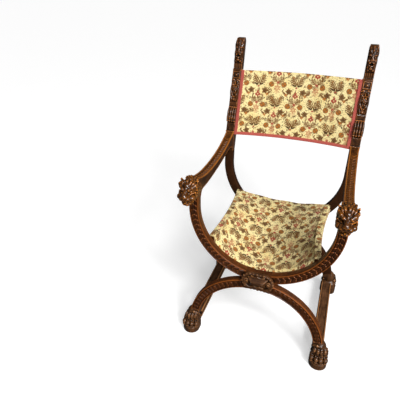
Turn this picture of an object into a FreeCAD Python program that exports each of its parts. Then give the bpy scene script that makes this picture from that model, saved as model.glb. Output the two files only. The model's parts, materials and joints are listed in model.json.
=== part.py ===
import FreeCAD, Part
import math
import os
import re

import Sketcher

# A folding X-frame armchair with a slung cloth seat and back.
# +X to the right as the chair is seen from the front, +Y to the back, +Z up. The origin is on the floor,
# midway between the front and the rear X-frame. Sizes are in millimetres.

SIZES = {
    # the two X-frames
    "frame_spacing": 470.0,       # over the outer faces of the front and the rear frame
    "frame_depth": 30.0,          # thickness of a leg, front to back
    "band_width": 36.0,           # width of a leg seen from the front
    "bend_radius": 258.0,         # middle line of every quarter bend
    "hub_height": 335.5,          # pivot above the floor
    "hub_radius": 37.5,           # rounded crossing of a leg
    "hub_gap": 3.0,               # between the upper and the lower bend at the crossing
    "lap_clearance": 0.5,         # between the two halved legs
    "lap_margin": 3.0,            # halved circle beyond the rounded crossing
    "upright_height": 52.0,       # straight top of a leg, above the upper bend
    # pivot
    "rod_radius": 6.0,
    "rod_clearance": 0.05,
    "rod_head_radius": 11.0,
    "rod_head_depth": 4.0,
    "washer_radius": 12.0,
    "washer_depth": 1.5,
    "nut_radius": 9.8,            # over the corners
    "nut_depth": 6.0,
    "recess_margin": 1.0,         # between a washer and the wall of its sunk hole
    "recess_clearance": 0.5,      # between the nut's end and the leg's outer face
    "turning_clearance": 0.3,     # between faces that turn past each other
    "sleeve_neck": 13.0,
    "sleeve_swell": 19.0,
    "sleeve_flange_radius": 28.0,
    "sleeve_flange_depth": 14.0,
    # feet and floor runners
    "paw_height": 110.0,
    "paw_width": 72.0,
    "paw_shift": 10.0,            # a paw's middle outside the leg's middle line
    "paw_reach": 35.0,            # toes beyond the frame's outer face
    "paw_instep": 27.0,           # the foot's front beyond the frame's outer face, behind the toes
    "paw_heel": 15.0,             # heel beyond the frame's inner face
    "pad_height": 28.0,
    "pad_width": 70.0,
    "toe_width": 19.0,
    "toe_height": 36.0,
    "toe_setback": 8.0,           # outer toes behind the two middle ones
    "heel_rise": 4.0,             # upright heel block above the runner
    "runner_width": 44.0,
    "runner_height": 36.0,
    "runner_lift": 30.0,          # underside above the floor
    "runner_chamfer": 5.0,
    "tenon_length": 12.0,
    "tenon_shoulder": 5.0,
    "tenon_clearance": 0.1,
    # seat
    "rail_width": 20.0,
    "rail_height": 30.0,
    "rail_rise": 139.5,           # top of the seat rails above the pivot
    "rail_inset": 10.7,           # a rail's end inside the leg's middle line
    "rail_bow": 13.0,             # how far the rail bows inwards at mid length
    "cloth_thickness": 3.0,
    "cloth_gap": 0.3,
    "flap_length": 30.0,          # the seat flap hangs this far below the rail's top
    "seat_clearance": 8.0,        # lowest point of the seat above the stretcher's flange
    "seat_sag_rear": 18.0,
    "seat_end_gap": 2.0,          # between the seat cloth and each frame
    "braid_width": 13.0,
    "braid_thickness": 2.0,
    # arms: heights above the leg's top, and reaches behind the front face or before the post
    "arm_front_height": 66.0,
    "arm_neck_height": 44.0,
    "arm_neck_reach": 79.0,
    "arm_low_height": 37.5,
    "arm_low_reach": 175.0,
    "arm_shoulder_height": 60.0,
    "arm_shoulder_reach": 75.0,
    "arm_rear_height": 85.0,
    "arm_low_under": 3.5,
    "arm_low_under_reach": 195.0,
    "arm_shoulder_under": 16.0,
    "arm_shoulder_under_reach": 135.0,
    "arm_bracket_under": 25.0,
    "arm_bracket_reach": 33.0,
    "arm_heel_under": 9.0,
    "arm_spandrel": 25.0,         # radius of the curve between an arm and its front leg
    # lion heads
    "head_reach": 100.0,          # nose beyond the front frame's face
    "head_width": 66.0,
    "head_height": 97.0,
    "head_drop": 19.0,            # chin below the leg's top
    # back posts, from the leg's top upwards
    "post_lean": 103.0,           # top of the front edge behind its foot
    "post_top_depth": 27.0,
    "post_waist_depth": 52.0,
    "collar_rise": 85.0,
    "collar_height": 8.0,
    "collar_proud": 3.0,
    "scroll_gap": 37.0,           # plain block between the collar and the scroll
    "scroll_height": 53.0,
    "scroll_proud": 11.0,
    "panel_gap": 29.0,            # plain band between the scroll and the raised panel
    "panel_height": 83.0,
    "panel_proud": 4.0,
    "ledge_gap": 37.0,            # between the raised panel and the ledge
    "neck_height": 32.0,
    "neck_depth": 7.0,
    "mask_height": 84.0,
    "mask_proud": 8.0,
    # back cloth
    "back_rise": 75.0,            # lower edge above the leg's top
    "back_height": 259.0,
    "back_set": 4.0,              # behind the posts' front edge
    "back_sag": 28.0,
    "back_flange": 16.0,          # turned-back edge that is nailed to the post's inner face
    # dowels
    "dowel_radius": 4.0,
    "dowel_length": 44.0,
    "dowel_clearance": 0.05,
    # covers of the crossings
    "cartouche_width": 126.0,
    "cartouche_height": 80.0,
    "cartouche_rise": 7.0,        # its middle above the pivot
    "cartouche_depth": 12.0,
    "cartouche_boss": 12.0,
    "boss_radius": 34.0,
    "boss_rim": 5.0,
    "boss_depth": 15.0,
}

# What follows from the sizes above.
DERIVED = {
    "inner_radius": "bend_radius - band_width / 2",
    "outer_radius": "bend_radius + band_width / 2",
    "upper_centre": "hub_height + hub_gap / 2 + outer_radius",
    "lower_centre": "hub_height - hub_gap / 2 - outer_radius",
    "lap_radius": "hub_radius + lap_margin",
    "leg_top": "upper_centre + upright_height",
    "frame_face": "frame_spacing / 2",
    "frame_inner": "frame_face - frame_depth",
    "leg_middle": "frame_face - frame_depth / 2",
    "leg_inner_at_paw": "sqrt(inner_radius^2 - (paw_height - lower_centre)^2)",
    "leg_outer_at_paw": "sqrt(outer_radius^2 - (paw_height - lower_centre)^2)",
    "heel_face": "frame_inner - paw_heel",
    "runner_top": "runner_lift + runner_height",
    "heel_height": "runner_top + heel_rise",
    "rail_top": "hub_height + rail_rise",
    "rail_bottom": "rail_top - rail_height",
    "rail_spread": "sqrt(bend_radius^2 - (upper_centre - rail_top + rail_height / 2)^2) - rail_inset",
    "rail_bow_radius": "(frame_inner^2 + rail_bow^2) / (2 * rail_bow)",
    "flap_bottom": "rail_top - flap_length",
    "seat_sag_front": "rail_rise + cloth_gap - sleeve_flange_radius - seat_clearance",
    "recess_radius": "washer_radius + recess_margin",
    "recess_depth": "washer_depth + nut_depth + recess_clearance",
    "hub_floor": "frame_face - recess_depth",
    "head_bottom": "leg_top - head_drop",
    "head_top": "head_bottom + head_height",
    "collar_bottom": "leg_top + collar_rise",
    "collar_top": "collar_bottom + collar_height",
    "scroll_bottom": "collar_top + scroll_gap",
    "scroll_top": "scroll_bottom + scroll_height",
    "panel_bottom": "scroll_top + panel_gap",
    "panel_top": "panel_bottom + panel_height",
    "ledge_height": "panel_top + ledge_gap",
    "neck_top": "ledge_height + neck_height",
    "crown_height": "neck_top + mask_height",
    "post_top": "crown_height + neck_depth",
    "back_bottom": "leg_top + back_rise",
    "back_top": "back_bottom + back_height",
}

doc = FreeCAD.newDocument("x_frame_armchair")
sheet = doc.addObject("Spreadsheet::Sheet", "sizes")
for row, (alias, size) in enumerate(SIZES.items(), start=1):
    sheet.set(f"A{row}", alias)
    sheet.set(f"B{row}", str(size))
    sheet.setAlias(f"B{row}", alias)

NAME = re.compile(r"[a-z]+(?:_[a-z]+)+")
X_AXIS = FreeCAD.Vector(1, 0, 0)
Y_AXIS = FreeCAD.Vector(0, 1, 0)
Z_AXIS = FreeCAD.Vector(0, 0, 1)
UPRIGHT = FreeCAD.Rotation()
ALONG_Y = FreeCAD.Rotation(X_AXIS, -90)

nodes = []


def formula(text):
    """A formula with each size led to the sheet and each derived value to its variable."""
    def lead(match):
        name = match.group(0)
        return ("derived." if name in DERIVED else "sizes.") + name
    return NAME.sub(lead, text)


derived = doc.addObject("App::VarSet", "derived")
for name, text in DERIVED.items():
    derived.addProperty("App::PropertyFloat", name, "Derived")
    derived.setExpression(name, formula(text))
doc.recompute()


def value(name):
    """A size or a derived value as a number."""
    return float(getattr(derived, name) if name in DERIVED else sheet.get(name))


def bind(item, **formulas):
    """Ties properties of an object to formulas of the sheet's sizes."""
    for name, text in formulas.items():
        item.setExpression(name, formula(text))


def place(item, x="0", y="0", z="0", rotation=UPRIGHT):
    item.Placement = FreeCAD.Placement(FreeCAD.Vector(), rotation)
    for axis, text in zip("xyz", (x, y, z)):
        item.setExpression("Placement.Base." + axis, formula(text))
    return item


def box(name, x, y, z, length, width, height):
    item = doc.addObject("Part::Box", name)
    bind(item, Length=length, Width=width, Height=height)
    return place(item, x, y, z)


def cylinder(name, radius, height, x="0", y="0", z="0", rotation=UPRIGHT, angle="360"):
    item = doc.addObject("Part::Cylinder", name)
    bind(item, Radius=radius, Height=height, Angle=angle)
    return place(item, x, y, z, rotation)


def ellipsoid(name, half_x, half_y, half_z, x, y, z):
    item = doc.addObject("Part::Ellipsoid", name)
    bind(item, Radius1=half_z, Radius2=half_x, Radius3=half_y)
    return place(item, x, y, z)


def fuse(name, shapes):
    item = doc.addObject("Part::MultiFuse", name)
    item.Shapes = shapes
    item.Refine = True
    return item


def cut(name, base, tools):
    item = doc.addObject("Part::Cut", name)
    item.Base = base
    item.Tool = tools[0] if len(tools) == 1 else fuse(name + "_tools", tools)
    item.Refine = True
    return item


def compound(name, members):
    item = doc.addObject("Part::Compound", name)
    item.Links = members
    return item


def mirrored(source, name, normal=X_AXIS):
    """A piece's mirror image across the middle of the chair."""
    item = doc.addObject("Part::Mirroring", name)
    item.Source = source
    item.Base = FreeCAD.Vector()
    item.Normal = normal
    return item


def node(item, label):
    """Marks an object as a piece of the chair."""
    item.Label = label
    nodes.append(item)
    return item


def pair(item, stem):
    """The right-hand piece and its mirror image on the left."""
    node(item, stem + "_right")
    node(mirrored(item, stem + "_left"), stem + "_left")


# ---------------------------------------------------------------- legs

def through_front_leg(name, radius, z="hub_height", turn=0, angle="360"):
    """A cylinder, or a slice of one, across the whole depth of the front legs."""
    rotation = ALONG_Y.multiply(FreeCAD.Rotation(Z_AXIS, turn))
    return cylinder(name, radius, "frame_depth", "0", "-frame_face", z, rotation, angle)


def quarter_bend(name, centre, turn):
    """A quarter of a ring in the front frame, its plane facing the front."""
    outer = through_front_leg(name + "_outer", "outer_radius", centre, turn, "90")
    inner = through_front_leg(name + "_inner", "inner_radius", centre)
    return cut(name, outer, [inner])


def leg_blank(holes):
    """The S-shaped front leg that carries the right arm: down through the crossing to the left foot."""
    upper = quarter_bend("leg_upper", "upper_centre", 0)
    lower = quarter_bend("leg_lower", "lower_centre", 180)
    upright = box("leg_upright", "inner_radius", "-frame_face", "upper_centre",
                  "band_width", "frame_depth", "leg_top - upper_centre")
    hub = through_front_leg("leg_hub", "hub_radius")
    bore = through_front_leg("leg_bore", "rod_radius + rod_clearance")
    foot_cut = box("leg_foot_cut", "-2 * outer_radius", "-frame_face", "-frame_depth",
                   "4 * outer_radius", "frame_depth", "paw_height + frame_depth")
    mortise = rail_tenon("rail_mortise", "tenon_clearance")
    whole = fuse("leg_whole", [upper, upright, hub, lower])
    return cut("leg_blank", whole, [bore, foot_cut, mortise] + holes)


def legs(holes):
    """Each pair of legs is halved where it crosses; the left leg keeps the outer half, the right the inner."""
    blank = leg_blank(holes)
    behind = cylinder("lap_behind", "lap_radius", "frame_depth",
                      "0", "-leg_middle - lap_clearance / 2", "hub_height", ALONG_Y)
    before = cylinder("lap_before", "lap_radius", "frame_depth",
                      "0", "-leg_middle + lap_clearance / 2 - frame_depth", "hub_height", ALONG_Y)
    recess = cylinder("rod_recess", "recess_radius", "recess_depth",
                      "0", "-frame_face", "hub_height", ALONG_Y)
    right = cut("front_leg_right", blank, [before])
    left = cut("front_leg_left", mirrored(blank, "leg_blank_left"), [behind, recess])
    for front, side in ((right, "right"), (left, "left")):
        node(front, "front_leg_" + side)
        node(mirrored(front, "rear_leg_" + side, Y_AXIS), "rear_leg_" + side)


# ---------------------------------------------------------------- seat rails and floor runners

def rail_tenon(name, clearance="0"):
    """The tongue at the front end of the right seat rail, or with a clearance the mortise for it."""
    reach = f"(tenon_length + 5 * {clearance})"
    width = f"(rail_width - 2 * tenon_shoulder + 2 * {clearance})"
    return box(name, f"rail_spread - {width} / 2", f"-frame_inner - {reach}",
               f"rail_bottom + tenon_shoulder - {clearance}",
               width, reach, f"rail_height / 2 + 2 * {clearance}")


def seat_rail():
    """A rail sawn to a slight inward bow, with a tongue at each end."""
    rings = [cylinder(name, radius, "rail_height",
                      "rail_spread - rail_bow + rail_bow_radius", "0", "rail_bottom")
             for name, radius in (("rail_outer", "rail_bow_radius + rail_width / 2"),
                                  ("rail_inner", "rail_bow_radius - rail_width / 2"))]
    bar = doc.addObject("Part::Common", "rail_bar")
    bar.Base = cut("rail_ring", rings[0], rings[1:])
    bar.Tool = box("rail_span", "0", "-frame_inner", "rail_bottom",
                   "2 * rail_spread", "2 * frame_inner", "rail_height")
    front = rail_tenon("rail_tenon_front")
    return fuse("seat_rail_right", [bar, front, mirrored(front, "rail_tenon_rear", Y_AXIS)])


def polygon(body, name, plane, corners):
    """A closed sketch on one of the body's own planes, every corner tied to the sheet."""
    sketch = body.newObject("Sketcher::SketchObject", name)
    origin_plane = [f for f in body.Origin.OriginFeatures if f.Role == plane][0]
    sketch.AttachmentSupport = [(origin_plane, "")]
    sketch.MapMode = "FlatFace"
    count = len(corners)
    rough = [FreeCAD.Vector(math.cos(2 * math.pi * i / count), math.sin(2 * math.pi * i / count), 0)
             for i in range(count)]
    for i in range(count):
        sketch.addGeometry(Part.LineSegment(rough[i], rough[(i + 1) % count]), False)
    for i in range(count):
        sketch.addConstraint(Sketcher.Constraint("Coincident", i, 2, (i + 1) % count, 1))
    for i, (across, up) in enumerate(corners):
        for kind, text in (("DistanceX", across), ("DistanceY", up)):
            number = sketch.addConstraint(Sketcher.Constraint(kind, -1, 1, i, 1, 1.0))
            sketch.setExpression(f"Constraints[{number}]", formula(text))
    return sketch


def runner_tenon_edges(clearance="0"):
    """Half width, underside and top of a runner's tongue, or with a clearance of the mortise for it."""
    half = f"(runner_width / 2 - tenon_shoulder + {clearance})"
    low = f"(runner_lift + tenon_shoulder - {clearance})"
    high = f"(runner_top - tenon_shoulder + {clearance})"
    return half, low, high


def floor_runner():
    """A side runner from heel to heel, its upper edges chamfered, with a tongue at each end."""
    body = doc.addObject("PartDesign::Body", "floor_runner_right")
    half, shoulder = "runner_width / 2", "runner_top - runner_chamfer"
    section = [(f"-{half}", "runner_lift"), (half, "runner_lift"), (half, shoulder),
               (f"{half} - runner_chamfer", "runner_top"), (f"runner_chamfer - {half}", "runner_top"),
               (f"-{half}", shoulder)]
    wide, low, high = runner_tenon_edges()
    tongue = [(f"-{wide}", low), (wide, low), (wide, high), (f"-{wide}", high)]
    for name, corners, length in (("runner_bar", section, "2 * heel_face"),
                                  ("runner_tongues", tongue, "2 * (heel_face + tenon_length)")):
        pad = body.newObject("PartDesign::Pad", name)
        pad.Profile = polygon(body, name + "_section", "XZ_Plane", corners)
        pad.Midplane = True
        bind(pad, Length=length)
        body.Tip = pad
    return place(body, "bend_radius")


# ---------------------------------------------------------------- feet

def paw(hole):
    """The front right lion's paw: rounded pad, upright heel, instep tapering to the leg, and four toes."""
    middle = "(bend_radius + paw_shift)"
    pad_y = "(-frame_face - paw_reach + pad_width / 2)"
    toe_y = "(-frame_face - paw_reach + toe_width / 2)"
    pad = box("paw_pad", f"{middle} - pad_width / 2", pad_y, "0",
              "pad_width", f"-heel_face - {pad_y}", "pad_height")
    front = cylinder("paw_front", "pad_width / 2", "pad_height", middle, pad_y, "0")
    heel = box("paw_heel_block", f"{middle} - pad_width / 2", "-frame_inner - paw_heel", "0",
               "pad_width", "2 * paw_heel", "heel_height")

    instep = doc.addObject("Part::Wedge", "paw_instep_block")
    bind(instep, Xmin=f"{middle} - paw_width / 2", Xmax=f"{middle} + paw_width / 2",
         X2min="leg_inner_at_paw", X2max="leg_outer_at_paw", Ymin="pad_height / 2", Ymax="paw_height",
         Zmin="heel_face", Zmax="frame_face + paw_instep", Z2min="frame_inner", Z2max="frame_face")
    instep.Placement = FreeCAD.Placement(FreeCAD.Vector(), FreeCAD.Rotation(X_AXIS, 90))

    toes = []
    toe_top = "(pad_height + toe_height - toe_width / 2)"
    for i, (step, back) in enumerate(((-1.41, 1), (-0.47, 0), (0.47, 0), (1.41, 1))):
        x = f"{middle} + toe_width * {step}"
        y = f"{toe_y} + toe_setback * {back}"
        low = "pad_height / 2"
        toes.append(cylinder(f"paw_toe_{i}", "toe_width / 2", f"{toe_top} - {low}", x, y, low))
        knuckle = doc.addObject("Part::Sphere", f"paw_knuckle_{i}")
        bind(knuckle, Radius="toe_width / 2")
        toes.append(place(knuckle, x, y, toe_top))

    wide, low, high = runner_tenon_edges("tenon_clearance")
    reach = "(tenon_length + 5 * tenon_clearance)"
    mortise = box("paw_mortise", f"bend_radius - {wide}", f"-heel_face - {reach}", low,
                  f"2 * {wide}", reach, f"{high} - {low}")
    return cut("front_paw_right", fuse("paw_whole", [pad, front, heel, instep] + toes), [mortise, hole])


# ---------------------------------------------------------------- arms, heads, posts

def side_point(y, z):
    return FreeCAD.Vector(0, y, z)


def line(*points):
    """Straight edges from point to point."""
    return [Part.LineSegment(a, b).toShape() for a, b in zip(points, points[1:])]


def spline(*points):
    curve = Part.BSplineCurve()
    curve.interpolate(list(points))
    return curve.toShape()


def arc(start, through, end):
    return Part.Arc(start, through, end).toShape()


def outline_blank(name, edges):
    """A post's or an arm's blank, sawn from a board as wide as a leg."""
    blank = doc.addObject("Part::Feature", name)
    solid = Part.Face(Part.Wire(edges)).extrude(FreeCAD.Vector(value("band_width"), 0, 0))
    solid.translate(FreeCAD.Vector(value("inner_radius"), 0, 0))
    blank.Shape = solid
    return blank


def arm(holes):
    """The right arm, which dips between the post and the lion's head, with a bracket curve at each end."""
    front, back = -value("frame_face"), value("frame_inner")
    leg_back, leg_top, bow = -back, value("leg_top"), value("arm_spandrel")
    top = [side_point(front, leg_top + value("arm_front_height")),
           side_point(front + value("arm_neck_reach"), leg_top + value("arm_neck_height")),
           side_point(front + value("arm_low_reach"), leg_top + value("arm_low_height")),
           side_point(back - value("arm_shoulder_reach"), leg_top + value("arm_shoulder_height")),
           side_point(back, leg_top + value("arm_rear_height"))]
    under = [side_point(back, leg_top + value("arm_heel_under")),
             side_point(back - value("arm_bracket_reach"), leg_top + value("arm_bracket_under")),
             side_point(back - value("arm_shoulder_under_reach"), leg_top + value("arm_shoulder_under")),
             side_point(front + value("arm_low_under_reach"), leg_top + value("arm_low_under")),
             side_point(leg_back + bow, leg_top)]
    corner = bow * (1 - math.sqrt(0.5))
    spandrel_mid = side_point(leg_back + corner, leg_top - corner)
    spandrel_end = side_point(leg_back, leg_top - bow)
    edges = [spline(*top)] + line(top[-1], under[0]) + [spline(*under)]
    edges += [arc(under[-1], spandrel_mid, spandrel_end)]
    edges += line(spandrel_end, side_point(leg_back, leg_top), side_point(front, leg_top), top[0])
    return cut("arm_right", outline_blank("arm_blank", edges), holes)


def lion_head(holes):
    """Skull, mane, muzzle and jaw, flat at the back where the head is glued to the arm and the leg."""
    face = "-frame_face - head_reach"
    skull = ellipsoid("head_skull", "head_width * 0.48", "head_reach * 0.62", "head_height * 0.44",
                      "bend_radius", f"{face} * 0.18", "head_top - head_height * 0.44")
    mane = ellipsoid("head_mane", "head_width / 2", "head_reach * 0.36", "head_height * 0.45",
                     "bend_radius", f"{face} * 0.06", "head_bottom + head_height * 0.52")
    muzzle = ellipsoid("head_muzzle", "head_width * 0.31", "head_reach * 0.35", "head_height * 0.22",
                       "bend_radius", f"{face} * 0.65", "head_bottom + head_height * 0.48")
    jaw = ellipsoid("head_jaw", "head_width * 0.25", "head_reach * 0.36", "head_height * 0.16",
                    "bend_radius", f"{face} * 0.40", "head_bottom + head_height * 0.16")
    behind = box("head_behind", "bend_radius - head_width", "-frame_face", "head_bottom - head_height",
                 "2 * head_width", "2 * head_reach", "3 * head_height")
    return cut("lion_head_right", fuse("head_whole", [skull, mane, muzzle, jaw]), [behind] + holes)


def lean_slope():
    """How far a post leans back for each millimetre above its collar."""
    return value("post_lean") / (value("post_top") - value("collar_bottom"))


def post_front(z):
    """Where the front edge of a back post lies at a height: upright to the collar, leaning above it."""
    return value("frame_inner") + lean_slope() * max(0.0, z - value("collar_bottom"))


def post_edge(z, proud=0.0):
    """A point at a height on a post's front edge, or proud of it."""
    return side_point(post_front(z) - proud, z)


def rear_post(holes):
    """The right back post in profile: collar, scroll, raised panel, ledge, hollow neck and mask."""
    leg_top, top = value("leg_top"), value("post_top")
    collar, collar_top, collar_proud = value("collar_bottom"), value("collar_top"), value("collar_proud")
    scroll_low, scroll_high = value("scroll_bottom"), value("scroll_top")
    panel_low, panel_high, panel_proud = value("panel_bottom"), value("panel_top"), value("panel_proud")
    ledge, neck = value("ledge_height"), value("neck_depth")
    neck_top, crown = value("neck_top"), value("crown_height")
    back_foot = side_point(value("frame_face"), leg_top)
    waist = side_point(post_front(collar) + value("post_waist_depth"), collar)
    back_top = side_point(post_front(top) + value("post_top_depth"), top)
    edges = line(post_edge(leg_top), post_edge(collar), post_edge(collar, collar_proud),
                 post_edge(collar_top, collar_proud), post_edge(collar_top), post_edge(scroll_low))
    edges += [arc(post_edge(scroll_low), post_edge((scroll_low + scroll_high) / 2, value("scroll_proud")),
                  post_edge(scroll_high))]
    edges += line(post_edge(scroll_high), post_edge(panel_low), post_edge(panel_low, panel_proud),
                  post_edge(panel_high, panel_proud), post_edge(panel_high), post_edge(ledge),
                  post_edge(ledge + neck, -neck), post_edge(neck_top - neck, -neck), post_edge(neck_top))
    brow = post_edge((neck_top + crown) / 2, value("mask_proud"))
    edges += [arc(post_edge(neck_top), brow, post_edge(crown))]
    edges += line(post_edge(crown), post_edge(top, -neck), back_top)
    edges += [spline(back_top, waist, back_foot)]
    edges += line(back_foot, post_edge(leg_top))
    return cut("rear_post_right", outline_blank("post_blank", edges), holes)


# ---------------------------------------------------------------- pivot

def pivot():
    """Iron rod through all four crossings, its washers and nut, and the turned stretcher on it."""
    head_y = "-hub_floor - washer_depth - rod_head_depth"
    nut_y = "hub_floor + washer_depth"
    shank = cylinder("rod_shank", "rod_radius", f"{nut_y} + nut_depth - ({head_y})", "0", head_y,
                     "hub_height", ALONG_Y)
    head = cylinder("rod_head", "rod_head_radius", "rod_head_depth", "0", head_y, "hub_height", ALONG_Y)
    node(fuse("pivot_rod", [shank, head]), "pivot_rod")

    hole = "rod_radius + rod_clearance"
    disc = cylinder("washer_disc", "washer_radius", "washer_depth", "0", "hub_floor", "hub_height", ALONG_Y)
    bore = cylinder("washer_bore", hole, "washer_depth", "0", "hub_floor", "hub_height", ALONG_Y)
    washer = cut("washer_rear", disc, [bore])
    node(compound("pivot_washers", [washer, mirrored(washer, "washer_front", Y_AXIS)]), "pivot_washers")

    prism = doc.addObject("Part::Prism", "nut_prism")
    prism.Polygon = 6
    bind(prism, Circumradius="nut_radius", Height="nut_depth")
    place(prism, "0", nut_y, "hub_height", ALONG_Y)
    thread = cylinder("nut_bore", hole, "nut_depth", "0", nut_y, "hub_height", ALONG_Y)
    node(cut("pivot_nut", prism, [thread]), "pivot_nut")
    stretcher(hole)


def stretcher(hole):
    """The turned sleeve between the crossings, which the rod runs through."""
    end = "(frame_inner - turning_clearance)"
    flange = f"({end} - sleeve_flange_depth)"
    neck = f"({flange} - sleeve_flange_depth)"
    body = doc.addObject("PartDesign::Body", "pivot_sleeve")
    turned = body.newObject("PartDesign::Revolution", "sleeve_turned")
    sketch = polygon(body, "sleeve_profile", "XY_Plane",
                     [(hole, f"-{end}"), ("sleeve_flange_radius", f"-{end}"),
                      ("sleeve_flange_radius", f"-{flange}"), ("sleeve_neck", f"-{neck}"),
                      ("sleeve_swell", "0"), ("sleeve_neck", neck),
                      ("sleeve_flange_radius", flange), ("sleeve_flange_radius", end), (hole, end)])
    turned.Profile = sketch
    turned.ReferenceAxis = (sketch, ["V_Axis"])
    turned.Angle = 360.0
    body.Tip = turned
    node(place(body, "0", "0", "hub_height"), "pivot_sleeve")


def front_cartouche():
    """Oval plate with a raised boss, over the front crossing."""
    centre = "hub_height + cartouche_rise"
    flat = "(cartouche_width - cartouche_height)"
    y = "-frame_face - turning_clearance - cartouche_depth"
    slab = box("cartouche_slab", f"-{flat} / 2", y, f"{centre} - cartouche_height / 2",
               flat, "cartouche_depth", "cartouche_height")
    ends = [cylinder(f"cartouche_end_{i}", "cartouche_height / 2", "cartouche_depth",
                     f"{sign}{flat} / 2", y, centre, ALONG_Y) for i, sign in enumerate(("-", ""))]
    boss = doc.addObject("Part::Wedge", "cartouche_raised")
    half_x, half_z = "cartouche_width * 0.26", "cartouche_height * 0.22"
    boss.Ymin = 0.0
    bind(boss, Ymax="cartouche_boss", Xmin=f"-{half_x}", Xmax=half_x, Zmin=f"-{half_z}", Zmax=half_z,
         X2min=f"-{half_x} * 0.7", X2max=f"{half_x} * 0.7",
         Z2min=f"-{half_z} * 0.55", Z2max=f"{half_z} * 0.55")
    place(boss, "0", y, centre, FreeCAD.Rotation(Z_AXIS, 180))
    node(fuse("front_cartouche", [slab] + ends + [boss]), "front_cartouche")


def rear_boss():
    """Turned cover of the nut at the back."""
    y = "frame_face + turning_clearance"
    rim = cylinder("rear_boss_rim", "boss_radius", "boss_rim", "0", y, "hub_height", ALONG_Y)
    dome = doc.addObject("Part::Cone", "rear_boss_dome")
    bind(dome, Radius1="boss_radius * 0.8", Radius2="boss_radius * 0.3", Height="boss_depth - boss_rim")
    place(dome, "0", f"{y} + boss_rim", "hub_height", ALONG_Y)
    node(fuse("rear_boss", [rim, dome]), "rear_boss")


# ---------------------------------------------------------------- cloth and braid

def rail_middle(y):
    """Distance of a seat rail's middle line from the chair's middle."""
    radius = value("rail_bow_radius")
    return value("rail_spread") - value("rail_bow") + radius - math.sqrt(radius ** 2 - y ** 2)


def seat_section(y, sag):
    """Closed outline of the seat cloth across the chair: flap, over the rail, down the sling, and back."""
    gap, thick = value("cloth_gap"), value("cloth_thickness")
    rail, half = rail_middle(y), value("rail_width") / 2
    low, under = value("flap_bottom"), value("rail_top") + gap
    top = under + thick

    def point(x, z):
        return FreeCAD.Vector(x, y, z)

    out, into, edge = rail + half + gap + thick, rail + half + gap, rail - half - gap
    edges = line(point(-out, low), point(-out, top), point(-edge, top))
    edges += [arc(point(-edge, top), point(0, top - sag), point(edge, top))]
    edges += line(point(edge, top), point(out, top), point(out, low), point(into, low), point(into, under),
                  point(edge, under))
    edges += [arc(point(edge, under), point(0, under - sag), point(-edge, under))]
    edges += line(point(-edge, under), point(-into, under), point(-into, low), point(-out, low))
    return Part.Wire(edges)


def seat_cloth():
    """The slung seat, deep at the front and shallow at the back."""
    end = value("frame_inner") - value("seat_end_gap")
    front, rear = value("seat_sag_front"), value("seat_sag_rear")
    stations = 5
    sections = []
    for i in range(stations):
        share = i / (stations - 1)
        sag = front + (rear - front) * (1 - math.cos(math.pi * share)) / 2
        sections.append(seat_section(-end + 2 * end * share, sag))
    cloth = doc.addObject("Part::Feature", "seat_cloth")
    cloth.Shape = Part.makeLoft(sections, True, False)
    node(cloth, "seat_cloth")


def seat_braid():
    """Braid along the lower edge of the right seat flap, on its outer face."""
    thick = value("braid_thickness")
    end = value("frame_inner") - value("seat_end_gap")
    outside = value("rail_width") / 2 + 2 * value("cloth_gap") + value("cloth_thickness")
    low = value("flap_bottom")
    ys = (-end, 0.0, end)
    near = [FreeCAD.Vector(rail_middle(y) + outside, y, low) for y in ys]
    far = [FreeCAD.Vector(rail_middle(y) + outside + thick, y, low) for y in ys]
    edges = [arc(*near)] + line(near[2], far[2]) + [arc(far[2], far[1], far[0])] + line(far[0], near[0])
    braid = doc.addObject("Part::Feature", "seat_braid_right")
    braid.Shape = Part.Face(Part.Wire(edges)).extrude(FreeCAD.Vector(0, 0, value("braid_width")))
    return braid


def back_curve():
    """Half width, centre and radius of the back cloth's front face in plan, at its lower edge."""
    half = value("inner_radius") - value("cloth_gap")
    sag = value("back_sag")
    radius = (half ** 2 + sag ** 2) / (2 * sag)
    start = post_front(value("collar_bottom")) + value("back_set") - lean_slope() * (
        value("collar_bottom") - value("back_bottom"))
    return half, start + sag - radius, radius


def back_strip(name, low_x, high_x, near, far, low_z, high_z, flange=0.0):
    """A strip of the slung back between two radii, leaning with the posts."""
    centre, radius = back_curve()[1:]

    def point(x, reach):
        return FreeCAD.Vector(x, centre + math.sqrt((radius + reach) ** 2 - x ** 2), low_z)

    middle = (low_x + high_x) / 2
    a, b, c = (point(x, near) for x in (low_x, middle, high_x))
    d, e, f = (point(x, far) for x in (high_x, middle, low_x))
    if flange:
        thick = far - near
        back = FreeCAD.Vector(0, flange, 0)
        inset = FreeCAD.Vector(thick, 0, 0)
        d_in, f_in = point(high_x - thick, far), point(low_x + thick, far)
        edges = [arc(a, b, c)] + line(c, c + back, c + back - inset, d_in)
        edges += [arc(d_in, e, f_in)] + line(f_in, a + back + inset, a + back, a)
    else:
        edges = [arc(a, b, c)] + line(c, d) + [arc(d, e, f)] + line(f, a)
    rise = high_z - low_z
    offset = lean_slope() * (low_z - value("back_bottom"))
    solid = Part.Face(Part.Wire(edges)).extrude(FreeCAD.Vector(0, lean_slope() * rise, rise))
    solid.translate(FreeCAD.Vector(0, offset, 0))
    item = doc.addObject("Part::Feature", name)
    item.Shape = solid
    return item


def back():
    """The slung back, with braid along its sides and its lower edge."""
    half = back_curve()[0]
    low, high = value("back_bottom"), value("back_top")
    wide, gap = value("braid_width"), value("cloth_gap")
    near, far = -gap - value("braid_thickness"), -gap
    cloth = back_strip("back_cloth", -half, half, 0.0, value("cloth_thickness"), low, high,
                       value("back_flange"))
    node(cloth, "back_cloth")
    pair(back_strip("back_braid_right", half - wide, half, near, far, low, high), "back_braid")
    inner = half - wide - gap
    node(back_strip("back_braid_bottom", -inner, inner, near, far, low, low + wide), "back_braid_bottom")


# ---------------------------------------------------------------- the chair

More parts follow.
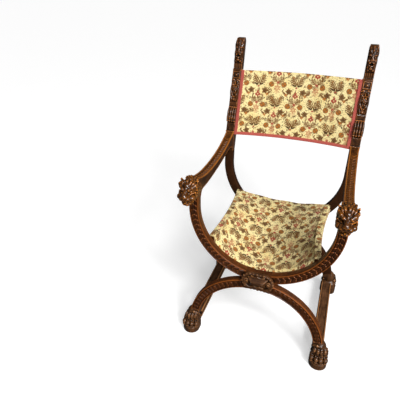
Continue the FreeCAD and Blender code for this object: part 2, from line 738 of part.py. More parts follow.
def dowel(name, x, y, z, along_y=False):
    """A dowel centred on a point, and the hole that is drilled for it in both pieces."""
    rotation = ALONG_Y if along_y else UPRIGHT
    drawn = []
    for label, radius, half in ((name, "dowel_radius", "dowel_length / 2"),
                                (name + "_hole", "dowel_radius + dowel_clearance",
                                 "(dowel_length / 2 + 10 * dowel_clearance)")):
        start = (f"{y} - {half}", z) if along_y else (y, f"{z} - {half}")
        drawn.append(cylinder(label, radius, f"2 * {half}", x, *start, rotation))
    return drawn


def build():
    """The right-hand pieces are drawn, and the left-hand and rear ones are their mirror images."""
    head_low = dowel("head_dowel_low", "bend_radius", "-frame_face",
                     "leg_top + dowel_length / 2 + 2 * dowel_radius", True)
    head_high = dowel("head_dowel_high", "bend_radius", "-frame_face",
                      "leg_top + arm_front_height - 3 * dowel_radius", True)
    arm_front = dowel("arm_dowel_front", "bend_radius", "-leg_middle", "leg_top")
    arm_rear = dowel("arm_dowel_rear", "bend_radius", "frame_inner",
                     "leg_top + (arm_shoulder_height + arm_bracket_under) / 2", True)
    post_foot = dowel("post_dowel", "bend_radius", "leg_middle", "leg_top")
    # The same leg pattern stands over the left foot, so its foot's dowel is drilled there.
    foot_left = dowel("paw_dowel_left", "-(leg_inner_at_paw + leg_outer_at_paw) / 2",
                      "-leg_middle", "paw_height")
    foot_right = [mirrored(item, item.Name + "_right") for item in foot_left]

    legs([arm_front[1], foot_left[1]])
    pair(rear_post([post_foot[1], arm_rear[1]]), "rear_post")
    pair(arm([head_low[1], head_high[1], arm_front[1], arm_rear[1]]), "arm")
    pair(lion_head([head_low[1], head_high[1]]), "lion_head")
    pair(seat_rail(), "seat_rail")
    pair(floor_runner(), "floor_runner")
    front_paw = paw(foot_right[1])
    pair(front_paw, "front_paw")
    pair(mirrored(front_paw, "rear_paw_right", Y_AXIS), "rear_paw")
    pair(compound("head_dowels_right", [head_low[0], head_high[0]]), "head_dowels")
    pair(compound("frame_dowels_right", [arm_front[0], arm_rear[0], post_foot[0]]), "frame_dowels")
    rear_foot = mirrored(foot_right[0], "paw_dowel_rear", Y_AXIS)
    pair(compound("paw_dowels_right", [foot_right[0], rear_foot]), "paw_dowels")
    pair(seat_braid(), "seat_braid")
    pivot()
    front_cartouche()
    rear_boss()
    seat_cloth()
    back()
    doc.recompute()


build()

for item in doc.Objects:
    for state in item.State:
        if state in ("Invalid", "Error"):
            raise RuntimeError(f"{item.Name} did not compute: {item.State}")
os.makedirs("parts", exist_ok=True)
for item in nodes:
    if item.Shape.isNull() or not item.Shape.isValid():
        raise RuntimeError(f"{item.Label} has no valid shape")
    item.Shape.exportStep(f"parts/{item.Label}.step")
    print(f"{item.Label:24s} {len(item.Shape.Solids)} solids {item.Shape.Volume / 1000:9.1f} cm3")
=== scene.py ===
"""Dresses the savonarola armchair: carved wood, lion heads, paws, tapestry seat and back, braid and iron."""

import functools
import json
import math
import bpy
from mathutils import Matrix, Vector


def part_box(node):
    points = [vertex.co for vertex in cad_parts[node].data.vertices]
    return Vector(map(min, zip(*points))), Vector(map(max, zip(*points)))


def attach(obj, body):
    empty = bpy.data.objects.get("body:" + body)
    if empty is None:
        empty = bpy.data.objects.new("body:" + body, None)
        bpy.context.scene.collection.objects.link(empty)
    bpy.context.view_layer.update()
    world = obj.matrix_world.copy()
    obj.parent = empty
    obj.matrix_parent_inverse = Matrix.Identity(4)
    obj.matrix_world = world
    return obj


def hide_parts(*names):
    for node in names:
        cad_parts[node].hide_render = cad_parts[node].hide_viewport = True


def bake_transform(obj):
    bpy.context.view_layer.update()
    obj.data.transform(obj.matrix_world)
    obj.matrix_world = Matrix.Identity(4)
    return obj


bl_info = {
    "name": "Savonarola Armchair",
    "version": (1, 0, 0),
    "blender": (4, 5, 0),
    "location": "3D View > Sidebar > Armchair",
    "description": "Carved folding X-frame armchair with a slung tapestry seat and back",
    "category": "Add Mesh",
}

import bmesh
import bpy
import numpy as np
from mathutils import Matrix, Vector
from mathutils.bvhtree import BVHTree

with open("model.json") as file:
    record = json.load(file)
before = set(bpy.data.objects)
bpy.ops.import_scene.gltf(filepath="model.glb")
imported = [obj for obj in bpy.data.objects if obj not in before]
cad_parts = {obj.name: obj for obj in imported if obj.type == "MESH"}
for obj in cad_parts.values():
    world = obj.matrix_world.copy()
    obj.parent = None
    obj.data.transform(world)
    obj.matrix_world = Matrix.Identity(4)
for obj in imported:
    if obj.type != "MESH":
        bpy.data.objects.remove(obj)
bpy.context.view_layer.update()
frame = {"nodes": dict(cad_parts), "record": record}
SIDES = {"left": -1, "right": 1}
MM = 0.001


def body_of_node(name):
    """The body that a CAD node rides on."""
    return next(body for body, nodes in frame["record"]["behaviour"]["bodies"].items() if name in nodes)


# ---------------------------------------------------------------- sizes and colours

def length(name, text, default, low=0.0, high=1.0):
    return bpy.props.FloatProperty(name=name, description=text, default=default, min=low, max=high,
                                   unit="LENGTH", subtype="DISTANCE", precision=4)


def colour(name, text, red, green, blue):
    """A colour property whose default is given in screen values from 0 to 255."""
    linear = [((c / 255 + 0.055) / 1.055) ** 2.4 if c > 10 else c / 255 / 12.92 for c in (red, green, blue)]
    return bpy.props.FloatVectorProperty(name=name, description=text, subtype="COLOR", size=4,
                                         min=0.0, max=1.0, default=(*linear, 1.0))


class ChairSizes(bpy.types.PropertyGroup):
    """Sizes of the carved and woven detail."""
    bend_radius: length("Bend radius", "Middle line of every quarter bend", 0.258)
    upper_centre: length("Upper centre", "Height of the centre of the upper bends", 0.613)
    lower_centre: length("Lower centre", "Height of the centre of the lower bends", 0.058)
    band_width: length("Band width", "Width of a leg seen from the front", 0.036)
    frame_face: length("Frame face", "Distance of the front frame's face from the middle", 0.235)
    frame_depth: length("Frame depth", "Thickness of a leg from front to back", 0.030)
    border_width: length("Border width", "Raised edge beside the carved leaves", 0.0050)
    sunk_depth: length("Sunk depth", "How deep the ground between the borders lies", 0.0024)
    leaf_pitch: length("Leaf pitch", "Distance between leaves on the upper bends", 0.0205)
    husk_pitch: length("Husk pitch", "Distance between husks on the lower bends", 0.0190)
    chevron_pitch: length("Chevron pitch", "Distance between chevrons on the arms", 0.0180)
    carving_step: length("Carving step", "Finest detail of the modelled carvings", 0.0012, 0.0006, 0.005)
    thread: length("Thread", "Spacing of the tapestry's ribs", 0.0011, 0.0003, 0.01)
    repeat_width: length("Repeat width", "Width of the tapestry's repeat", 0.155)
    repeat_height: length("Repeat height", "Height of the tapestry's repeat", 0.170)
    stitch_pitch: length("Stitch pitch", "Distance between the braid's stitches", 0.0042)


class ChairColours(bpy.types.PropertyGroup):
    """Stains, varnish and yarns; the tones for rubbing also carry painted highlights on high points, and the
    cavity tone painted shade in hollows.
    """
    cavity: colour("Cavity", "Dark stain and painted shade in the hollows", 10, 5, 3)
    leg_wood: colour("Leg wood", "Stained wood of the carved legs", 56, 28, 12)
    leg_worn: colour("Leg worn and lit", "Rubbed edges of the carved legs", 166, 92, 38)
    plain_wood: colour("Plain wood", "Plain and inner surfaces of the frame", 40, 21, 9)
    runner_wood: colour("Runner wood", "Dusty wood of the floor runners", 84, 54, 36)
    arm_wood: colour("Arm wood", "Tops of the arms", 78, 43, 17)
    arm_worn_and_lit: colour("Arm worn and lit", "Rubbed edges of the arms", 176, 106, 42)
    lion_wood: colour("Lion wood", "Varnished lion heads", 68, 36, 12)
    lion_worn_and_lit: colour("Lion worn and lit", "Rubbed high points of the lion heads", 214, 130, 42)
    paw_wood: colour("Paw wood", "Paws", 62, 36, 20)
    paw_worn_and_lit: colour("Paw worn and lit", "Rubbed high points of the paws", 196, 136, 84)
    post_wood: colour("Post wood", "Back posts", 31, 17, 9)
    post_worn_and_lit: colour("Post worn and lit", "Rubbed high points of the back posts", 200, 124, 62)
    dowel_wood: colour("Dowel wood", "End grain of the dowels", 120, 82, 46)
    ground: colour("Ground", "Tapestry ground", 238, 221, 162)
    leaf: colour("Leaf", "Brown leaves", 100, 60, 22)
    olive: colour("Olive", "Dark leaf clusters", 52, 36, 18)
    rosette: colour("Rosette", "Ring flowers", 156, 92, 34)
    blossom: colour("Blossom", "Small red flowers", 142, 52, 40)
    sprig: colour("Sprig", "Pale sprigs", 166, 108, 70)
    braid: colour("Braid", "Braid round the cloths", 176, 74, 60)
    galloon: colour("Galloon", "Cream braid along the seat's flaps", 214, 190, 122)
    iron: colour("Iron", "Pivot rod, washers and nut", 70, 66, 62)


def sizes():
    return bpy.context.scene.armchair_sizes


def tones():
    return bpy.context.scene.armchair_colours


# ---------------------------------------------------------------- making meshes

def columns(*values):
    """Numbers and arrays of numbers side by side, as the last axis of one array."""
    return np.stack(np.broadcast_arrays(*values), axis=-1).astype(float)


def lengths(points):
    """How far along its line each point lies, for a line of points or for each row of a grid of them."""
    steps = np.linalg.norm(np.diff(points, axis=-2), axis=-1)
    return np.concatenate([np.zeros((*steps.shape[:-1], 1)), np.cumsum(steps, axis=-1)], axis=-1)


def grid(rows, across):
    """The four-sided cells of a grid of points numbered row by row, and the numbers round its rim."""
    number = np.arange(rows * across).reshape(rows, across)
    cells = np.stack([number[:-1, :-1], number[:-1, 1:], number[1:, 1:], number[1:, :-1]], axis=2)
    rim = np.concatenate([number[0], number[1:, -1], number[-1, -2::-1], number[-2:0:-1, 0]])
    return cells.reshape(-1, 4).tolist(), rim.tolist()


def add_object(name, data):
    """A new object in the scene."""
    piece = bpy.data.objects.new(name, data)
    bpy.context.scene.collection.objects.link(piece)
    return piece


def new_piece(name, points, faces, uv=None):
    """A mesh object from points in metres and faces as lists of point numbers."""
    mesh = bpy.data.meshes.new(name)
    faces = [list(map(int, face)) for face in faces]
    mesh.from_pydata(np.asarray(points, float).tolist(), [], faces)
    if uv is not None:
        layer = mesh.uv_layers.new(name="weave")
        loops = np.concatenate([np.asarray(face) for face in faces])
        layer.data.foreach_set("uv", np.asarray(uv, np.float32)[loops].ravel())
    mesh.update()
    return add_object(name, mesh)


def turn_outwards(piece):
    """Points the faces of a closed piece outwards."""
    shape = bmesh.new()
    shape.from_mesh(piece.data)
    bmesh.ops.recalc_face_normals(shape, faces=shape.faces)
    shape.to_mesh(piece.data)
    shape.free()


def cad_shape(node):
    """An editable copy of a CAD node's mesh, in the chair's place."""
    source = frame["nodes"][node]
    shape = bmesh.new()
    shape.from_mesh(source.data)
    shape.transform(source.matrix_world)
    return shape


def join(name, parts):
    """Joins parts into one piece that keeps their materials, UV maps and attributes."""
    if len(parts) > 1:
        with bpy.context.temp_override(active_object=parts[0], selected_objects=parts,
                                       selected_editable_objects=parts):
            bpy.ops.object.join()
    parts[0].name = parts[0].data.name = name
    return parts[0]


def mirror_copy(piece, name, axis=0):
    """A mirror image of a piece in the chair's middle plane across the axis."""
    mesh = piece.data.copy()
    flip = [1.0, 1.0, 1.0, 1.0]
    flip[axis] = -1.0
    mesh.transform(Matrix.Diagonal(flip))
    mesh.flip_normals()
    mesh.name = name
    return add_object(name, mesh)


def smooth(piece, angle=38.0):
    """Smooth shading, with edges sharper than the angle kept crisp."""
    mesh = piece.data
    mesh.shade_smooth()
    mesh.set_sharp_from_angle(angle=math.radians(angle))
    return piece


def read(items, name, width, kind=float):
    """One property of all vertices or edges of a mesh, as an array with a row for each."""
    values = np.empty(len(items) * width, kind)
    items.foreach_get(name, values)
    return values.reshape(-1, width)


def rub_and_shade(piece, reach=(4, 16), strength=0.9):
    """Stores in "wear" how far each point stands out (towards 1) or lies in a hollow (towards 0); the wood
    paints rubbing and a painted highlight where it stands out, and stain and painted shade in the hollows.
    """
    mesh = piece.data
    count = len(mesh.vertices)
    points, normals = read(mesh.vertices, "co", 3), read(mesh.vertices, "normal", 3)
    edges = read(mesh.edges, "vertices", 2, int)
    near = np.bincount(edges.ravel(), minlength=count).clip(1)

    def around(values):
        total = np.stack([np.bincount(edges[:, 0], values[edges[:, 1], k], count)
                          + np.bincount(edges[:, 1], values[edges[:, 0], k], count)
                          for k in range(values.shape[1])], axis=1)
        return total / near[:, None]

    pitch = np.linalg.norm(points[edges[:, 0]] - points[edges[:, 1]], axis=1).mean()
    flat, done, bulge = points.copy(), 0, np.zeros(count)
    for rounds in reach:
        while done < rounds:
            flat = 0.5 * flat + 0.5 * around(flat)
            done += 1
        bulge += ((points - flat) * normals).sum(axis=1) / (pitch * math.sqrt(rounds))
    value = (0.5 + strength * bulge)[:, None].clip(0, 1)
    value = 0.6 * value + 0.4 * around(value)
    store(mesh, "wear", value[:, 0])
    return piece


def store(mesh, name, values):
    """Stores one number for each vertex of a mesh."""
    attribute = mesh.attributes.get(name) or mesh.attributes.new(name, "FLOAT", "POINT")
    attribute.data.foreach_set("value", np.asarray(values, np.float32))


def paint(piece, material):
    """Gives a piece one material."""
    piece.data.materials.clear()
    piece.data.materials.append(material)
    return piece


def sweep(name, path, across, outward, profile, wear=None):
    """A closed bar: the profile's points (across, outward) carried along a path, capped at both ends.

    Both directions are one vector for the whole path, or one for each of its points. So is the profile.
    """
    path, profile = np.asarray(path, float), np.asarray(profile, float)
    across, outward = (np.broadcast_to(np.asarray(v, float), path.shape) for v in (across, outward))
    if profile.ndim == 2:
        profile = np.repeat(profile[None], len(path), axis=0)
    rings, corners = profile.shape[:2]
    points = (path[:, None] + across[:, None] * profile[..., :1] + outward[:, None] * profile[..., 1:])
    uv = columns(lengths(profile), lengths(path)[:, None]).reshape(-1, 2)
    faces = []
    for i in range(rings - 1):
        here, there = i * corners, (i + 1) * corners
        for j in range(corners):
            k = (j + 1) % corners
            faces.append([here + j, here + k, there + k, there + j])
    faces += [list(range(corners)), list(range((rings - 1) * corners, rings * corners))]
    piece = new_piece(name, points.reshape(-1, 3), faces, uv)
    turn_outwards(piece)
    if wear is not None:
        store(piece.data, "wear", np.tile(np.asarray(wear, float), rings))
    return smooth(piece)


def profile_wear_and_shading(profile, strength=0.55):
    """Corners polished by rubbing and lit by painted highlights, and grooves darkened by stain and painted
    shade, in a bar's profile.
    """
    profile = np.asarray(profile, float)
    before, after = np.roll(profile, 1, axis=0), np.roll(profile, -1, axis=0)
    a, b = profile - before, after - profile
    turn = a[:, 0] * b[:, 1] - a[:, 1] * b[:, 0]
    area = (before[:, 0] * profile[:, 1] - profile[:, 0] * before[:, 1]).sum()
    bend = turn / (np.linalg.norm(a, axis=1) * np.linalg.norm(b, axis=1) + 1e-12) * np.sign(area)
    return (0.5 + strength * bend).clip(0, 1)


def mirrored(half):
    """Half of a profile, then its mirror image without any point on the middle line."""
    return [*half, *((-x, z) for x, z in reversed(half) if x)]


# ---------------------------------------------------------------- modelling like clay

# Distance from the surface, in mm, that empty space starts with and that the grid's outer layer has at least.
EMPTY, OUTSIDE = 12.0, 0.4


class Clay:
    """A block on a grid, in millimetres, that forms are added to and hollows are cut from."""

    def __init__(self, low, high, step):
        self.low = np.asarray(low, float)
        self.step = step
        self.size = np.ceil((np.asarray(high, float) - self.low) / step).astype(int) + 1
        self.value = np.full(self.size, EMPTY, np.float32)

    def work(self, measure, low=None, high=None, soft=2.0, cut=False):
        """Adds, or cuts, the form whose signed distance measure(x, y, z) gives."""
        if low is None:
            first, last = np.zeros(3, int), self.size
        else:
            margin = soft * 1.5 + 2 * self.step
            first = np.floor((np.asarray(low) - margin - self.low) / self.step).astype(int).clip(0, self.size)
            last = np.ceil((np.asarray(high) + margin - self.low) / self.step).astype(int) + 1
            last = last.clip(0, self.size)
            if (last <= first).any():
                return
        grid = [(self.low[k] + self.step * np.arange(first[k], last[k])).astype(np.float32) for k in range(3)]
        distance = measure(grid[0][:, None, None], grid[1][None, :, None], grid[2][None, None, :])
        part = tuple(slice(a, b) for a, b in zip(first, last))
        here = self.value[part]
        # A cut adds the form to the empty space and turns the result inside out again.
        sign = -1.0 if cut else 1.0
        a, b = sign * here, distance
        if soft > 0:
            share = np.clip(0.5 + 0.5 * (b - a) / soft, 0, 1)
            mixed = b + (a - b) * share - soft * share * (1 - share)
        else:
            mixed = np.minimum(a, b)
        self.value[part] = sign * mixed

    def blob(self, centre, radii, soft=2.0, cut=False, turn=0.0, both=False):
        """An egg shape, turned about the axis that points forward."""
        cos, sin = math.cos(math.radians(turn)), math.sin(math.radians(turn))
        reach = max(radii)

        def measure(x, y, z):
            px, py, pz = x - centre[0], y - centre[1], z - centre[2]
            qx, qz = cos * px + sin * pz, -sin * px + cos * pz
            inner = np.sqrt((qx / radii[0]) ** 2 + (py / radii[1]) ** 2 + (qz / radii[2]) ** 2)
            outer = np.sqrt((qx / radii[0] ** 2) ** 2 + (py / radii[1] ** 2) ** 2 + (qz / radii[2] ** 2) ** 2)
            return inner * (inner - 1) / np.maximum(outer, 1e-4)

        self.work(measure, [c - reach for c in centre], [c + reach for c in centre], soft, cut)
        if both:
            self.blob((-centre[0], centre[1], centre[2]), radii, soft, cut, -turn)

    def rod(self, points, radii, soft=2.0, cut=False, both=False):
        """A rounded rod through points, with a radius at each."""
        points = [np.asarray(p, float) for p in points]
        if not hasattr(radii, "__len__"):
            radii = [radii] * len(points)
        for a, b, ra, rb in zip(points, points[1:], radii, radii[1:]):
            along = b - a
            square = max(float(along @ along), 1e-6)
            wide = max(ra, rb)

            def measure(x, y, z, a=a, along=along, square=square, ra=ra, rb=rb):
                px, py, pz = x - a[0], y - a[1], z - a[2]
                t = np.clip((px * along[0] + py * along[1] + pz * along[2]) / square, 0, 1)
                return np.sqrt((px - t * along[0]) ** 2 + (py - t * along[1]) ** 2
                               + (pz - t * along[2]) ** 2) - (ra + (rb - ra) * t)

            self.work(measure, np.minimum(a, b) - wide, np.maximum(a, b) + wide, soft, cut)
        if both:
            self.rod([p * np.array([-1, 1, 1]) for p in points], radii, soft, cut)

    def block(self, low, high, rounding=1.0, soft=0.0, cut=False):
        """A box with rounded edges."""
        low, high = np.asarray(low, float), np.asarray(high, float)
        centre, half = (low + high) / 2, (high - low) / 2 - rounding

        def measure(x, y, z):
            q = [np.abs(v - c) - h for v, c, h in zip((x, y, z), centre, half)]
            outside = np.sqrt(sum(np.maximum(v, 0) ** 2 for v in q))
            return outside + np.minimum(np.maximum(np.maximum(q[0], q[1]), q[2]), 0) - rounding

        self.work(measure, low, high, soft, cut)

    def skin(self):
        """Points in millimetres and four-sided faces of the block's surface."""
        value = self.value
        for axis in range(3):
            layers = np.moveaxis(value, axis, 0)
            layers[[0, -1]] = np.maximum(layers[[0, -1]], OUTSIDE)
        cells = np.array(value.shape) - 1
        total = np.zeros((*cells, 3), np.float32)
        count = np.zeros(cells, np.float32)

        def corner(offset):
            return value[tuple(slice(o, o + n) for o, n in zip(offset, cells))]

        for axis in range(3):
            others = [k for k in range(3) if k != axis]
            for a in (0, 1):
                for b in (0, 1):
                    start = [0, 0, 0]
                    start[others[0]], start[others[1]] = a, b
                    end = list(start)
                    end[axis] = 1
                    near, far = corner(start), corner(end)
                    crossing = (near < 0) != (far < 0)
                    share = np.where(crossing, near / np.where(crossing, near - far, 1), 0)
                    count += crossing
                    total[..., axis] += share
                    total[..., others[0]] += a * crossing
                    total[..., others[1]] += b * crossing
        active = count > 0
        number = np.full(cells, -1)
        number[active] = np.arange(int(active.sum()))
        points = np.argwhere(active) + total[active] / count[active][:, None]
        points = self.low + self.step * points
        faces = []
        for axis in range(3):
            u, w = (axis + 1) % 3, (axis + 2) % 3
            inner = [slice(0, -1) if k == axis else slice(1, -1) for k in range(3)]
            ahead = list(inner)
            ahead[axis] = slice(1, None)
            near, far = value[tuple(inner)], value[tuple(ahead)]
            crossing = np.argwhere((near < 0) != (far < 0))
            if not len(crossing):
                continue
            place = crossing + [0 if k == axis else 1 for k in range(3)]
            sign = near[tuple(crossing.T)] < 0
            ring = []
            for du, dw in ((1, 1), (0, 1), (0, 0), (1, 0)):
                cell = place.copy()
                cell[:, u] -= du
                cell[:, w] -= dw
                ring.append(number[tuple(cell.T)])
            quad = np.stack(ring, axis=1)
            quad[~sign] = quad[~sign][:, ::-1]
            faces.append(quad)
        return points, np.concatenate(faces)


def carve(name, clay, place, material, reach=(4, 16)):
    """Turns clay into a piece; place maps its points to the chair, still in millimetres."""
    points, faces = clay.skin()
    piece = new_piece(name, place(points) * MM, faces)
    turn_outwards(piece)
    piece.data.shade_smooth()
    rub_and_shade(piece, reach)
    return paint(piece, material)


def facing_front(origin, low, high):
    """Places points whose y runs forward at an origin in the chair, and keeps them between two corners."""
    def place(points):
        return origin + np.clip(points, low, high) * (1, -1, 1)
    return place

# ---------------------------------------------------------------- ornament along a path

def once(shelf, label=None):
    """Marks a maker that works once for each name; after that it gives back what it made."""
    def wrap(make):
        @functools.wraps(make)
        def get(name=label):
            return getattr(bpy.data, shelf).get(name) or make(name)
        return get
    return wrap


@once("node_groups", "Ornament along a path")
def ornament_tree(name):
    """Geometry nodes that repeat one ornament along a path at an even pitch."""
    tree = bpy.data.node_groups.new(name, "GeometryNodeTree")
    face = tree.interface
    for label, kind, value in (
            ("Path", "Geometry", None), ("Ornament", "Object", None), ("Pitch", "Float", 0.02),
            ("Facing", "Vector", (0.0, 0.0, 1.0)), ("Uneven", "Float", 0.05), ("Seed", "Int", 1),
            ("Finish", "Material", None)):
        socket = face.new_socket(label, in_out="INPUT", socket_type="NodeSocket" + kind)
        if value is not None:
            socket.default_value = value
    face.new_socket("Carving", in_out="OUTPUT", socket_type="NodeSocketGeometry")
    start, end, to_curve, resample, info, tangent, axes, uneven, less, more, put, realize, finish = map(
        tree.nodes.new, ("NodeGroupInput", "NodeGroupOutput", "GeometryNodeMeshToCurve",
                         "GeometryNodeResampleCurve", "GeometryNodeObjectInfo", "GeometryNodeInputTangent",
                         "FunctionNodeAxesToRotation", "FunctionNodeRandomValue", "ShaderNodeMath",
                         "ShaderNodeMath", "GeometryNodeInstanceOnPoints", "GeometryNodeRealizeInstances",
                         "GeometryNodeSetMaterial"))
    resample.mode, uneven.data_type = "LENGTH", "FLOAT"
    axes.primary_axis, axes.secondary_axis = "Y", "Z"
    less.operation, more.operation = "SUBTRACT", "ADD"
    for source, output, target, socket in (
            (start, "Path", to_curve, "Mesh"), (to_curve, "Curve", resample, "Curve"),
            (start, "Pitch", resample, "Length"), (start, "Ornament", info, "Object"),
            (tangent, "Tangent", axes, "Primary Axis"), (start, "Facing", axes, "Secondary Axis"),
            (start, "Seed", uneven, "Seed"), (resample, "Curve", put, "Points"),
            (info, "Geometry", put, "Instance"), (axes, "Rotation", put, "Rotation"),
            (put, "Instances", realize, "Geometry"), (realize, "Geometry", finish, "Geometry"),
            (start, "Finish", finish, "Material"), (finish, "Geometry", end, "Carving")):
        tree.links.new(source.outputs[output], target.inputs[socket])
    for limit, label in ((less, "Min"), (more, "Max")):
        limit.inputs[0].default_value = 1.0
        tree.links.new(start.outputs["Uneven"], limit.inputs[1])
        tree.links.new(limit.outputs[0], number_socket(uneven.inputs, label))
    tree.links.new(number_socket(uneven.outputs, "Value"), put.inputs["Scale"])
    return tree


def number_socket(sockets, label):
    """The socket for plain numbers among several that have the same name."""
    return next(s for s in sockets if s.name == label and s.type == "VALUE")


def repeat_along(name, path, ornament, pitch, facing, material, uneven=0.04, seed=1):
    """Ornaments along a path of points, as one plain mesh."""
    mesh = bpy.data.meshes.new(name + "_path")
    points = np.asarray(path, float)
    mesh.from_pydata(points.tolist(), [[i, i + 1] for i in range(len(points) - 1)], [])
    holder = add_object(name + "_path", mesh)
    modifier = holder.modifiers.new("Ornament", "NODES")
    tree = modifier.node_group = ornament_tree()
    values = {"Ornament": ornament, "Pitch": float(pitch), "Facing": tuple(facing), "Uneven": float(uneven),
              "Seed": int(seed), "Finish": material}
    for item in tree.interface.items_tree:
        if item.item_type == "SOCKET" and item.in_out == "INPUT" and item.name in values:
            modifier[item.identifier] = values[item.name]
    bpy.context.view_layer.update()
    ready = holder.evaluated_get(bpy.context.evaluated_depsgraph_get())
    plain = bpy.data.meshes.new_from_object(ready)
    plain.name = name
    piece = add_object(name, plain)
    bpy.data.objects.remove(holder)
    if not len(plain.polygons):
        raise RuntimeError(f"{name}: nothing was made along the path")
    return paint(piece, material)


def relief(name, outline, height, across=13, rows=14, sole=-0.0012, wear=None):
    """A small carved ornament, closed underneath.

    outline(u, t) gives the place of a point and height(u, t) its rise, with u from -1 to 1 across and t
    from 0 to 1 along. wear(u, t), if given, sets its rubbing and painted highlight where high, and stain and
    painted shade where low. The rim lies on the sole.
    """
    points, rubbing_and_shading = [], []
    for t in (j / (rows - 1) for j in range(rows)):
        for u in (2 * i / (across - 1) - 1 for i in range(across)):
            x, y = outline(u, t)
            points.append((x, y, sole if abs(u) == 1 or t in (0, 1) else height(u, t)))
            rubbing_and_shading.append(wear(u, t) if wear else 0.5)
    n = len(points)
    points += [(x, y, sole - 0.0004) for x, y, _ in points]
    faces, rim = grid(rows, across)
    faces += [[b, a, n + a, n + b] for a, b in zip(rim, rim[1:] + rim[:1])]
    faces.append([n + a for a in reversed(rim)])
    used = sorted({p for face in faces for p in face})
    renumber = {p: i for i, p in enumerate(used)}
    piece = new_piece(name, [points[p] for p in used], [[renumber[p] for p in face] for face in faces])
    turn_outwards(piece)
    piece.data.shade_smooth()
    if wear:
        rubbing_and_shading += [0.25] * n
        store(piece.data, "wear", [rubbing_and_shading[p] for p in used])
    else:
        rub_and_shade(piece, (1, 3), 0.5)
    return piece


# ---------------------------------------------------------------- shader wiring

def action(operation, swapped=False):
    """A method that adds one Math node, for an operator or a word below."""
    def act(wire, other=0.0):
        return wire.wires.math(operation, other, wire) if swapped else wire.wires.math(operation, wire, other)
    return act


class Wire:
    """A value on its way between shader nodes; arithmetic with it adds Math nodes."""

    def __init__(self, wires, socket):
        self.wires, self.socket = wires, socket

    __add__, __radd__ = action("ADD"), action("ADD", True)
    __sub__, __rsub__ = action("SUBTRACT"), action("SUBTRACT", True)
    __mul__, __rmul__ = action("MULTIPLY"), action("MULTIPLY", True)
    __truediv__, __rtruediv__ = action("DIVIDE"), action("DIVIDE", True)
    bearing, maximum = action("ARCTAN2"), action("MAXIMUM")
    sine, cosine, root = action("SINE"), action("COSINE"), action("SQRT")
    floor, fract, absolute = action("FLOOR"), action("FRACT"), action("ABSOLUTE")


class Wires:
    """Short names for the shader nodes of one tree. Their outputs are Wire objects."""

    def __init__(self, tree):
        self.nodes, self.links = tree.nodes, tree.links

    def fill(self, sockets, **values):
        """Sets or links sockets by name, with _ for a space."""
        for label, value in values.items():
            self.feed(sockets[label.replace("_", " ")], value)

    def feed(self, socket, value):
        """Links a wire to a socket, or sets a constant on it."""
        if isinstance(value, Wire):
            self.links.new(value.socket, socket)
        else:
            socket.default_value = value

    def node(self, kind, *values, **settings):
        """A node with its settings, its first sockets fed in their order, and its outputs by name."""
        node = self.nodes.new("ShaderNode" + kind)
        for name, value in settings.items():
            setattr(node, name, value)
        for socket, value in zip(node.inputs, values):
            self.feed(socket, value)
        return node, {socket.name: Wire(self, socket) for socket in reversed(list(node.outputs))}

    def math(self, operation, a, b=0.0, clamp=False):
        node, _ = self.node("Math", a, b, operation=operation, use_clamp=clamp)
        return Wire(self, node.outputs[0])

    def vector(self, operation, a, b=(0.0, 0.0, 0.0)):
        _, out = self.node("VectorMath", a, b, operation=operation)
        return out["Value" if operation == "DISTANCE" else "Vector"]

    def step(self, value, low, high, to_low=0.0, to_high=1.0):
        """A smooth step from low to high."""
        node, _ = self.node("MapRange", value, low, high, to_low, to_high, interpolation_type="SMOOTHSTEP")
        return Wire(self, node.outputs[0])

    def mix(self, share, a, b, blend="MIX"):
        node, _ = self.node("Mix", share, data_type="RGBA", blend_type=blend)
        self.feed(node.inputs[6], a)
        self.feed(node.inputs[7], b)
        return Wire(self, node.outputs[2])

    def noise(self, vector, scale, detail=3.0, rough=0.55, distortion=0.0, output="Fac"):
        node, out = self.node("TexNoise")
        self.fill(node.inputs, Vector=vector, Scale=scale, Detail=detail, Roughness=rough,
                  Distortion=distortion)
        return out[output]

    def scatter(self, vector, scale, randomness=1.0):
        """Scattered points on a plane: the nearest one's distance, random colour and place."""
        node, out = self.node("TexVoronoi", voronoi_dimensions="2D", feature="F1")
        self.fill(node.inputs, Vector=vector, Scale=scale, Randomness=randomness)
        return out["Distance"], out["Color"], out["Position"]

    def mapping(self, vector, move=(0.0, 0.0, 0.0), turn=(0.0, 0.0, 0.0), scale=(1.0, 1.0, 1.0)):
        _, out = self.node("Mapping", vector, move, turn, scale, vector_type="POINT")
        return out["Vector"]

    def parts(self, vector):
        """The three numbers of a vector or colour."""
        node, _ = self.node("SeparateXYZ", vector)
        return [Wire(self, socket) for socket in node.outputs]

    def whole(self, x, y, z=0.0):
        _, out = self.node("CombineXYZ", x, y, z)
        return out["Vector"]

    def attribute(self, name):
        _, out = self.node("Attribute", attribute_name=name)
        return out["Fac"]

    def coordinate(self):
        _, out = self.node("TexCoord")
        return out["Object"]

    def uv(self, layer):
        _, out = self.node("UVMap", uv_map=layer)
        return out["UV"]

    def bump(self, height, distance, strength=1.0):
        node, out = self.node("Bump")
        self.fill(node.inputs, Height=height, Distance=distance, Strength=strength)
        return out["Normal"]

    def group(self, tree, **values):
        node, out = self.node("Group", node_tree=tree)
        self.fill(node.inputs, **values)
        return out


def group(name, inputs, *outputs):
    """A new shader group: its tree, its wires, its inputs by name, and the sockets of its outputs.

    Each input is given by its default number, or by the word Vector or Color.
    """
    tree = bpy.data.node_groups.new(name, "ShaderNodeTree")
    for label, value in inputs.items():
        kind = value if isinstance(value, str) else "Float"
        socket = tree.interface.new_socket(label, in_out="INPUT", socket_type="NodeSocket" + kind)
        if kind == "Float":
            socket.default_value = value
    for label in outputs:
        kind = "Color" if label == "Color" else "Float"
        tree.interface.new_socket(label, in_out="OUTPUT", socket_type="NodeSocket" + kind)
    w = Wires(tree)
    start, end = w.nodes.new("NodeGroupInput"), w.nodes.new("NodeGroupOutput")
    return tree, w, {socket.name: Wire(w, socket) for socket in start.outputs}, end.inputs


